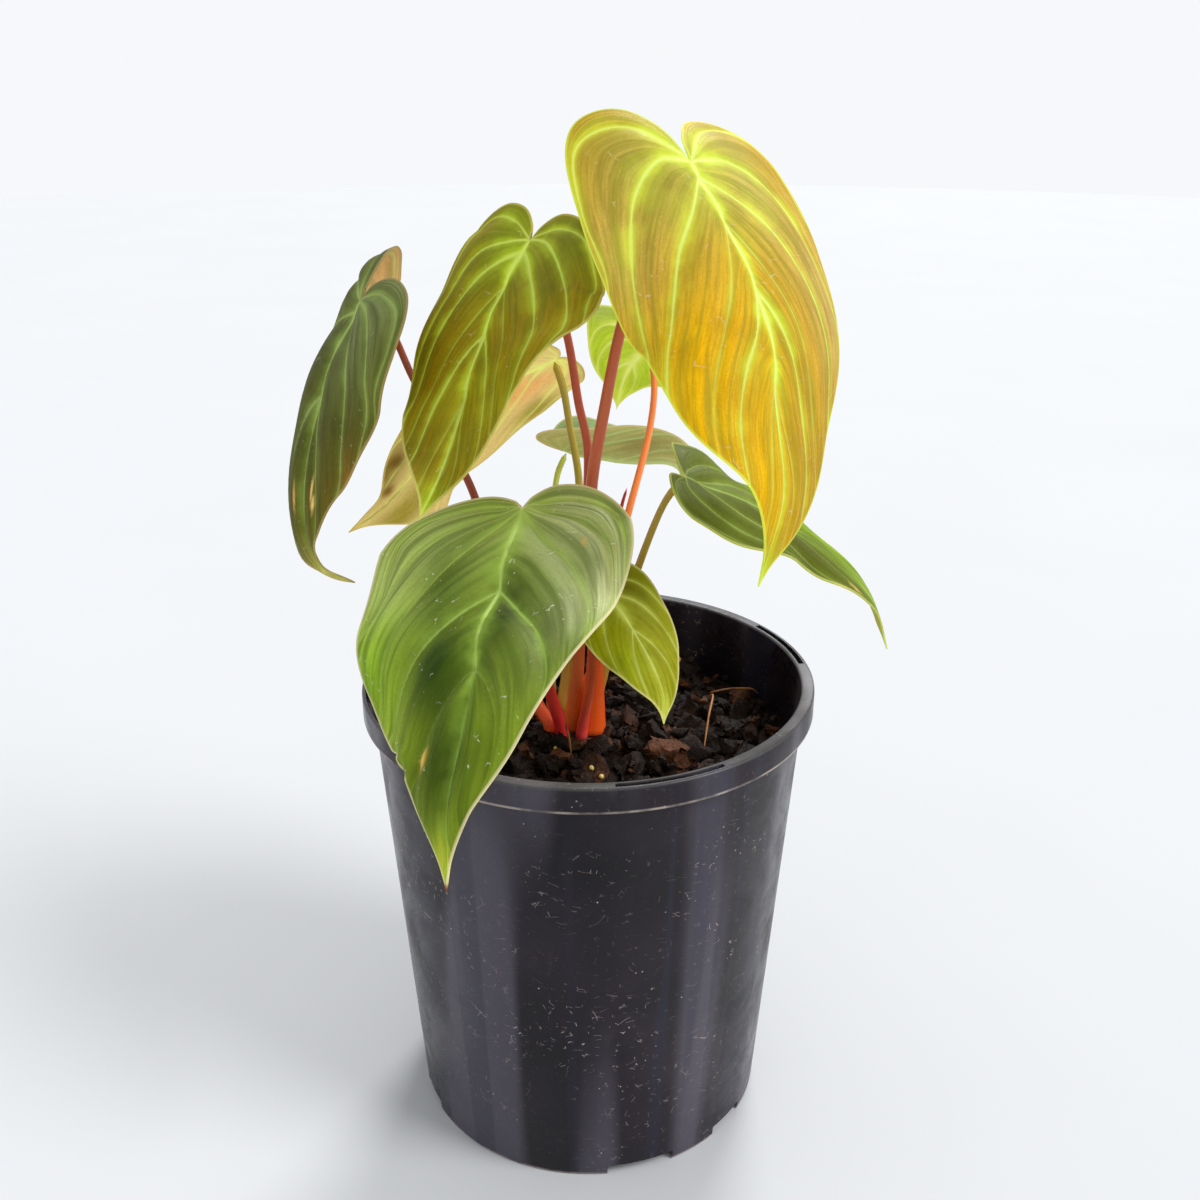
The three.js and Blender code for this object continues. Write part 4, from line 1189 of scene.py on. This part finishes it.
def plain_natural_finish(name, colour, roughness, mottled):
    """A small natural part, mottled by a second colour."""
    finish = Finish(name, roughness, 0.4)
    grain = finish.noise(900, 4.0, 0.65)
    mixed = finish.mix(tone(*colour), tone(*mottled), finish.noise(180, 3.0, 0.6).ramp(0.4, 0.65))
    mixed = mixed.mix(scaled(tone(*mottled), 0.5), grain.ramp(0.5, 0.8, 0.0, 0.5))
    finish.connect(Base_Color=mixed, Normal=finish.bump(grain, 0.0004, 0.8))
    return finish.material


# The pot


def outer_radius(height):
    share = height / (POT_HEIGHT - COLLAR_HEIGHT)
    return POT_BASE_RADIUS + (POT_RIM_RADIUS - COLLAR_STEP - POT_BASE_RADIUS) * share


def inner_radius(height):
    return outer_radius(height) - WALL


def pot_profile():
    """The pot's section, from under the foot over the rim to the floor."""
    collar_low = POT_HEIGHT - COLLAR_HEIGHT
    shoulder = collar_low - SHOULDER_DROP
    return rounded([
        (POT_BASE_RADIUS - FLAT_RING, 0),
        (POT_BASE_RADIUS, 0),
        (outer_radius(collar_low), collar_low),
        (POT_RIM_RADIUS, collar_low),
        (POT_RIM_RADIUS, POT_HEIGHT),
        (POT_MOUTH_RADIUS, POT_HEIGHT),
        (inner_radius(shoulder), shoulder),
        (inner_radius(FLOOR), FLOOR),
        (inner_radius(FLOOR) - FLAT_RING, FLOOR),
    ], EDGE_ROUNDING)


class PLANT_OT_pot(Operator):
    """Model the nursery pot with its collar, rim slots, feet and drain notches"""

    bl_idname = "plant.pot"
    bl_label = "Pot"

    def execute(self, context):
        settings = context.scene.plant.pot
        piece = turned("nursery_pot", pot_profile(), settings.sides)
        cutters = []
        for turn in range(NOTCH_REPEATS):
            start = 360 / NOTCH_REPEATS * turn
            for low, high in NOTCH_SPANS:
                radii = (NOTCH_INNER_RADIUS, POT_RIM_RADIUS)
                span = (start + low, start + high)
                cutters.append(ring_sector("notch", radii, span, (-NOTCH_HEIGHT, NOTCH_HEIGHT)))
        for centre in SLOT_CENTRES:
            span = (centre - SLOT_SPAN / 2, centre + SLOT_SPAN / 2)
            heights = (POT_HEIGHT - SLOT_DEPTH, POT_HEIGHT + SLOT_DEPTH)
            cutters.append(ring_sector("slot", SLOT_RADII, span, heights))
        cutter = join(cutters, "cutter")
        apply_modifier(piece, "BOOLEAN", object=cutter, operation="DIFFERENCE", solver="EXACT")
        bpy.data.objects.remove(cutter)
        finish_piece(piece, [plastic_finish(settings)], ["pot"], 32)
        return {"FINISHED"}


# The potting mix


def seeded_draws(seed):
    """The same draws as the solid's chunks use."""
    state = seed
    while True:
        state = (state * 1664525 + 1013904223) % 4294967296
        yield state / 4294967296


def rough_block(name, cuts, roundness, roughness, seed):
    """A lump with torn faces in a unit box, subdivided, rounded and pushed about by noise."""
    deselect()
    bpy.ops.mesh.primitive_cube_add(size=1)
    piece = named(name)
    edit_all(piece)
    bpy.ops.mesh.subdivide(number_cuts=cuts)
    bpy.ops.object.mode_set(mode="OBJECT")
    noise.seed_set(seed)
    shift = Vector((seed * 3.7, seed * 1.3, seed * 2.1))
    places = corners(piece)
    places = places * (1 - roundness) + unit(places) * 0.5 * roundness
    pushed = []
    for place in places:
        spot = Vector(place) * LUMP_SCALE + shift
        push = noise.noise_vector(spot) + noise.noise_vector(spot * FINE_LUMP_SCALE) * 0.5
        pushed.append(place + np.array(push) * roughness)
    move_corners(piece, pushed)
    return piece


def around(reach, angle, height):
    """A point from its distance and way from the pot's axis, and its height."""
    return np.array([reach * math.cos(angle), reach * math.sin(angle), height])


def inside_pot(places):
    """Draws in the corners that would reach the pot's wall."""
    reach = np.linalg.norm(places[:, :2], axis=1)
    limit = inner_radius(places[:, 2]) - MIX_GAP
    kept = places.copy()
    kept[:, :2] *= np.minimum(1, limit / np.maximum(reach, 1e-6))[:, None]
    return kept


class Scatter:
    """Copies of a few rough lumps, joined into one piece at the end."""

    def __init__(self, kind, count, cuts, roundness, roughness, seed):
        self.lumps = [rough_block(f"{kind}_{k}", cuts, roundness, roughness, k + seed) for k in range(count)]
        self.shapes = [corners(lump) for lump in self.lumps]
        self.copies = []

    def shape(self, number):
        return self.shapes[number % len(self.shapes)]

    def add(self, number, places, shade):
        """A copy of one lump, its corners moved to places."""
        lump = self.lumps[number % len(self.lumps)]
        piece = lump.copy()
        piece.data = lump.data.copy()
        bpy.context.scene.collection.objects.link(piece)
        move_corners(piece, places * MM)
        store(piece, "shade", np.full(len(places), shade))
        self.copies.append(piece)

    def joined(self, name, finish):
        for lump in self.lumps:
            bpy.data.objects.remove(lump)
        finish_piece(join(self.copies, name), [finish], (), 60)


def chunk_places(unit_places, draw):
    """One chunk of bark as in the solid: a block with its corners drawn in, tilted and turned."""
    size = [low + (high - low) * next(draw) for low, high in (CHUNK_LENGTH, CHUNK_WIDTH, CHUNK_HEIGHT)]
    places = np.zeros_like(unit_places)
    for corner in np.array(CHUNK_CORNERS):
        pull = [low + CHUNK_PULL_SPAN * next(draw) for low in CHUNK_PULL]
        weight = np.prod(0.5 + unit_places * corner, axis=1)
        places += weight[:, None] * (0.5 * corner * size * pull)
    turn = Matrix.Rotation(CHUNK_TILT * (2 * next(draw) - 1), 3, "X")
    turn = Matrix.Rotation(CHUNK_TILT * (2 * next(draw) - 1), 3, "Y") @ turn
    turn = Matrix.Rotation(2 * math.pi * next(draw), 3, "Z") @ turn
    return places @ np.array(turn).T


class PLANT_OT_mix(Operator):
    """Fill the pot with bark mix, chunks, chips, feed prills and root fibres"""

    bl_idname = "plant.mix"
    bl_label = "Potting mix"

    def bed(self, settings):
        top_radius = inner_radius(MIX_LEVEL) - MIX_GAP
        profile = [(inner_radius(FLOOR) - MIX_GAP, FLOOR + MIX_GAP)]
        profile += [(radius, MIX_LEVEL) for radius in np.linspace(top_radius, BED_CENTRE, BED_RINGS)]
        piece = turned("mix_bed", profile, BED_SIDES)
        places = corners(piece)
        for place in places:
            if place[2] > (MIX_LEVEL - 1) * MM and math.hypot(place[0], place[1]) < BED_ROUGH_RADIUS * MM:
                lumps = sum(height * noise.noise(Vector(place) * scale) for height, scale in BED_LUMPS)
                place[2] += lumps * MM
        move_corners(piece, places)
        store(piece, "shade", np.full(len(places), BED_SHADE))
        finish_piece(piece, [bark_finish("composted_mix", settings, 0.35)], ["potting_mix"], 60)

    def chunks(self, settings):
        draw = seeded_draws(CHUNK_SEED)
        shades = np.random.default_rng(CHUNK_SHADE_SEED)
        scatter = Scatter("chunk", 6, 6, 0.35, 0.22, 1)
        field = inner_radius(MIX_LEVEL) - CHUNK_FROM_WALL
        golden = math.pi * (3 - math.sqrt(5))
        for i in range(CHUNK_COUNT):
            reach = field * math.sqrt((i + 0.5) / CHUNK_COUNT) + 2 * (next(draw) - 0.5)
            angle = golden * i + 0.3 * next(draw)
            places = chunk_places(scatter.shape(i), draw)
            height = MIX_LEVEL - 0.5 + 1.2 * next(draw)
            scatter.add(i, inside_pot(places + around(reach, angle, height)), shades.uniform() ** 3)
        scatter.joined("bark_chunks", bark_finish("bark_chunk", settings, 0.8))

    def chips(self, settings):
        draw = np.random.default_rng(CHIP_SEED)
        scatter = Scatter("chip", 8, 3, 0.4, 0.34, 20)
        field = inner_radius(MIX_LEVEL) - CHIP_FROM_WALL
        for i in range(settings.chips):
            spot = around(field * math.sqrt(draw.uniform()), draw.uniform(0, 2 * math.pi), MIX_LEVEL)
            if math.dist(spot[:2], CROWN_CENTRE) < CHIP_FROM_CROWN:
                continue
            length = CHIP_LENGTH[0] + (CHIP_LENGTH[1] - CHIP_LENGTH[0]) * draw.uniform() ** 2
            size = length * np.array([1.0, draw.uniform(*CHIP_WIDTH), draw.uniform(*CHIP_HEIGHT)])
            turn = Matrix.Rotation(draw.uniform(0, 2 * math.pi), 3, "Z")
            turn = turn @ Matrix.Rotation(draw.normal(0, CHIP_TILT), 3, "X")
            turn = turn @ Matrix.Rotation(draw.normal(0, CHIP_TILT), 3, "Y")
            spot[2] += draw.uniform(*CHIP_LIFT)
            places = (scatter.shape(i) * size) @ np.array(turn).T + spot
            scatter.add(i, inside_pot(places), draw.uniform() ** 2.5)
        x, y, size, height, tilt = BIG_CHUNK
        turn = np.array(Matrix.Rotation(math.radians(tilt), 3, "Z"))
        shape = scatter.shape(BIG_CHUNK_SHAPE) * np.array([1.0, 0.65, 0.6]) * size
        scatter.add(BIG_CHUNK_SHAPE, shape @ turn.T + np.array([x, y, height]), 0.8)
        scatter.joined("bark_chips", bark_finish("bark_chip", settings, 0.9))

    def prills(self):
        pieces = []
        for x, y, radius in FEED_PRILLS:
            deselect()
            bpy.ops.mesh.primitive_ico_sphere_add(subdivisions=3, radius=radius * MM)
            piece = named("prill")
            places = corners(piece)
            for place in places:
                place *= 1 + PRILL_LUMP * noise.noise(Vector(place) * PRILL_LUMP_SCALE + Vector((x, y, 0)))
            move_corners(piece, places + np.array([x, y, MIX_LEVEL + PRILL_LIFT]) * MM)
            pieces.append(piece)
        finish = plain_natural_finish("feed_prill", (205, 185, 120), 0.35, (225, 175, 60))
        finish_piece(join(pieces, "feed_prills"), [finish], (), 80)

    def fibres(self):
        def radius_at(distances, length):
            radius = FIBRE_RADIUS * np.sin(np.pi * np.clip(distances / length, 0, 1)) ** 0.25
            return radius, radius

        pieces = [tube(f"fibre_{k}", points, radius_at, 8, 0.001) for k, points in enumerate(ROOT_FIBRES)]
        finish = plain_natural_finish("root_fibre", (160, 108, 62), 0.6, (96, 58, 34))
        finish_piece(join(pieces, "root_fibres"), [finish], (), 80)

    def execute(self, context):
        settings = context.scene.plant.mix
        self.bed(settings)
        self.chunks(settings)
        self.chips(settings)
        self.prills()
        self.fibres()
        return {"FINISHED"}


# The crown, the shoot and the stalks


class PLANT_OT_crown(Operator):
    """Model the knobbly crown that the stalks grow from"""

    bl_idname = "plant.crown"
    bl_label = "Crown"

    def execute(self, context):
        rings = [(CROWN_FOOT_RADIUS, CROWN_BOTTOM)] + [(CROWN_RADIUS, height) for height in CROWN_RINGS]
        for turn in np.linspace(0, math.pi / 2, CROWN_DOME_STEPS + 1)[1:-1]:
            height = CROWN_TOP - CROWN_DOME_START + CROWN_DOME_HEIGHT * math.sin(turn)
            rings.append((CROWN_RADIUS * math.cos(turn), height))
        piece = turned("crown_stub", rings, CROWN_SIDES)
        places = corners(piece)
        height, scale = CROWN_TOP_LUMP
        for place in places:
            push = sum(share * noise.noise(Vector(place) * size) for share, size in CROWN_LUMPS)
            place[:2] *= CROWN_NARROWED + push
            place[2] += height * noise.noise(Vector(place) * scale)
        move_corners(piece, places + np.array([*CROWN_CENTRE, 0]) * MM)
        finish = plain_natural_finish("crown_bark", (96, 58, 36), 0.75, (44, 30, 22))
        finish_piece(piece, [finish], ["crown"], 60)
        return {"FINISHED"}


def closed_ends(distances, length, end_length):
    """Draws a tube in to a point at its start and its end."""
    at_start = np.clip(distances / STALK_START_LENGTH, 0, 1)
    at_end = np.clip((length - distances) / end_length, 0, 1)
    return np.sqrt(at_start) * np.sqrt(at_end)


def from_crown(points):
    """A stalk's points, its first one sunk into the crown."""
    route = [np.array(point, float) for point in points]
    route[0][2] = CROWN_TOP - STALK_SUNK
    return route


class PLANT_OT_stalks(Operator):
    """Model the nine leaf stalks and the new shoot"""

    bl_idname = "plant.stalks"
    bl_label = "Stalks and shoot"

    def stalk(self, leaf, form, settings):
        start_radius, end_radius = leaf.stalk_radius
        sheath = settings.sheath * leaf.sheath
        junction, along, up, _ = (values[0] for values in form.frames(np.zeros(1), np.ones(1, int)))
        route = from_crown(leaf.stalk)
        route.insert(1, route[0] + np.array([0, 0, STALK_UPRIGHT]))
        route.append(junction - up * (0.6 * end_radius) + along * STALK_UNDER_BLADE)

        def radius_at(distances, length):
            radius = start_radius + (end_radius - start_radius) * np.sqrt(distances / length)
            flare = sheath * np.exp(-((distances / SHEATH_LENGTH) ** 2))
            neck = 1 + NECK_SWELL * np.exp(-(((length - distances - NECK_PLACE) / NECK_LENGTH) ** 2))
            radius = radius * neck * closed_ends(distances, length, 0.8 * end_radius)
            return radius * (1 + flare), radius * (1 + 0.3 * flare)

        piece = tube(f"{leaf.name}_petiole", route, radius_at, settings.sides, settings.step)
        finish = stalk_finish(f"{leaf.name}_stalk_skin", leaf.stalk_colours)
        finish_piece(piece, [finish], [f"{leaf.name}_stalk"], 70)

    def shoot(self, settings):
        start_radius, end_radius = SHOOT_RADIUS

        def radius_at(distances, length):
            radius = start_radius + (end_radius - start_radius) * (distances / length) ** 1.6
            radius = radius * closed_ends(distances, length, SHOOT_END_LENGTH)
            return radius * 1.1, radius * 0.95

        piece = tube("red_shoot", from_crown(SHOOT_ROUTE), radius_at, settings.sides, settings.step)
        finish_piece(piece, [stalk_finish("shoot_skin", SHOOT_COLOURS)], ["new_shoot"], 70)

    def execute(self, context):
        settings = context.scene.plant.stalk
        for seed, leaf in enumerate(LEAVES):
            self.stalk(leaf, BladeForm(leaf, seed), settings)
        self.shoot(settings)
        return {"FINISHED"}


# The blades


class PLANT_OT_blades(Operator):
    """Model the nine velvet blades with their veins, pleats and margins"""

    bl_idname = "plant.blades"
    bl_label = "Blades"

    def blade(self, leaf, form, settings):
        columns, rows = leaf.detail
        piece = add_grid(f"{leaf.name}_lamina", 2 * columns, rows)
        places = corners(piece)
        out, along = form.spread(places[:, 0], (places[:, 1] + 1) / 2)
        fields = form.vein_fields(out, along)
        width = np.asarray(leaf.width, float)[(out > 0).astype(int)]
        flat_out, flat_along = out * width, along * form.length
        depth = settings.vein_depth / MM
        relief = form.relief(fields, np.hypot(flat_out, flat_along), depth)
        move_corners(piece, form.place(flat_out, flat_along, relief) * MM)
        for name in ("vein", "power", "stream", "edge"):
            store(piece, name, fields[name])
        store(piece, "out", out)
        store(piece, "along", along)
        store(piece, "upper_tint", form.tints(leaf.upper, leaf.patches_and_painted_light, out, along))
        store(piece, "under_tint", form.tints(leaf.under, leaf.under_patches, out, along))
        if leaf.scars:
            colours, strength = form.scarring(out, along)
            store(piece, "scar", strength)
            store(piece, "scar_tint", colours)
        up = form.frames(np.array([0.5 * form.length]), np.ones(1, int))[2][0]
        facing_up = sum(Vector(up).dot(face.normal) for face in piece.data.polygons) > 0
        weld(piece, flip=not facing_up)
        for face in ("upper", "under"):
            piece.data.materials.append(blade_finish(leaf, face, settings))
        self.thicken(piece, settings)
        finish_piece(piece, [], [f"{leaf.name}_blade"], 60)

    def thicken(self, piece, settings):
        """Gives the blade its thickness, and its underside raised veins."""
        count = len(piece.data.vertices)
        apply_modifier(piece, "SOLIDIFY", thickness=settings.thickness, offset=0, material_offset=1)
        normals = np.zeros(len(piece.data.vertices) * 3)
        piece.data.vertices.foreach_get("normal", normals)
        normals = normals.reshape(-1, 3)
        vein, power, edge = (stored(piece, name) for name in ("vein", "power", "edge"))
        ridge = power * np.exp(-((vein / RIDGE_WIDTH) ** 2)) * smooth(edge, 0, FLAT_MARGIN)
        ridge *= RIDGE_HEIGHT * MM
        ridge[:count] = 0
        move_corners(piece, corners(piece) + normals * ridge[:, None])

    def execute(self, context):
        settings = context.scene.plant.blade
        for seed, leaf in enumerate(LEAVES):
            self.blade(leaf, BladeForm(leaf, seed), settings)
        return {"FINISHED"}


# The stage: the camera stands where the photo was taken from

FLOOR_RADIUS = 3.0
WINDOW_PLACE = (0.7, -0.3, 0.7)
WINDOW_SOFTNESS = 25
WINDOW_COLOUR = (1.0, 0.99, 0.97)
BEHIND_PLACE = (0.2, 0.7, 0.65)
BEHIND_SOFTNESS = 20
BEHIND_COLOUR = (1.0, 0.99, 0.96)
SENSOR_WIDTH = 36
CAMERA_PLACE = (0.0036, -0.3804, 0.3327)
CAMERA_PITCH = 67.25


def add_sun(name, place, strength, softness, colour):
    """Even soft light that comes from the way to a place."""
    data = bpy.data.lights.new(name, "SUN")
    data.energy = strength
    data.angle = math.radians(softness)
    data.color = colour
    lamp = bpy.data.objects.new(name, data)
    bpy.context.scene.collection.objects.link(lamp)
    lamp.location = place
    lamp.rotation_euler = Vector(place).to_track_quat("Z", "Y").to_euler()


class PLANT_OT_stage(Operator):
    """Set the pale floor, the soft light and the camera"""

    bl_idname = "plant.stage"
    bl_label = "Stage"

    def execute(self, context):
        settings = context.scene.plant.stage
        deselect()
        bpy.ops.mesh.primitive_circle_add(vertices=128, radius=FLOOR_RADIUS, fill_type="NGON")
        floor = named("floor")
        finish = Finish("pale_floor", 0.8, 0.1)
        base = tuple(settings.floor)
        finish.connect(Base_Color=finish.mix(base, scaled(base, 0.985), finish.noise(6).ramp(0.3, 0.7)))
        floor.data.materials.append(finish.material)

        world = bpy.data.worlds.new("bright_room")
        world.use_nodes = True
        background = world.node_tree.nodes["Background"]
        background.inputs["Color"].default_value = (*settings.surroundings, 1)
        background.inputs["Strength"].default_value = settings.room_light
        context.scene.world = world
        context.scene.view_settings.view_transform = "Standard"

        add_sun("window", WINDOW_PLACE, settings.window_light, WINDOW_SOFTNESS, WINDOW_COLOUR)
        add_sun("behind", BEHIND_PLACE, settings.back_light, BEHIND_SOFTNESS, BEHIND_COLOUR)

        camera = bpy.data.objects.new("camera", bpy.data.cameras.new("camera"))
        context.scene.collection.objects.link(camera)
        camera.data.lens = settings.focal_length
        camera.data.sensor_width = SENSOR_WIDTH
        camera.data.clip_start = 0.01
        camera.location = CAMERA_PLACE
        camera.rotation_euler = (math.radians(CAMERA_PITCH), 0, 0)
        context.scene.camera = camera
        return {"FINISHED"}


class PLANT_PT_panel(Panel):
    """The steps that build the plant"""

    bl_idname = "PLANT_PT_panel"
    bl_label = "Potted philodendron"
    bl_space_type = "VIEW_3D"
    bl_region_type = "UI"
    bl_category = "Plant"

    def draw(self, context):
        for operator in OPERATORS:
            self.layout.operator(operator.bl_idname)


OPERATORS = (PLANT_OT_pot, PLANT_OT_mix, PLANT_OT_crown, PLANT_OT_stalks, PLANT_OT_blades, PLANT_OT_stage)
SETTINGS = (PotSettings, MixSettings, BladeSettings, StalkSettings, StageSettings, PlantSettings)


def register():
    for cls in (*SETTINGS, *OPERATORS, PLANT_PT_panel):
        bpy.utils.register_class(cls)
    bpy.types.Scene.plant = PointerProperty(type=PlantSettings)


def unregister():
    del bpy.types.Scene.plant
    for cls in reversed((*SETTINGS, *OPERATORS, PLANT_PT_panel)):
        bpy.utils.unregister_class(cls)


def main():
    register()
    bpy.ops.plant.pot()
    bpy.ops.plant.mix()
    bpy.ops.plant.crown()
    bpy.ops.plant.stalks()
    bpy.ops.plant.blades()
    bpy.ops.plant.stage()


if __name__ == "__main__":
    main()
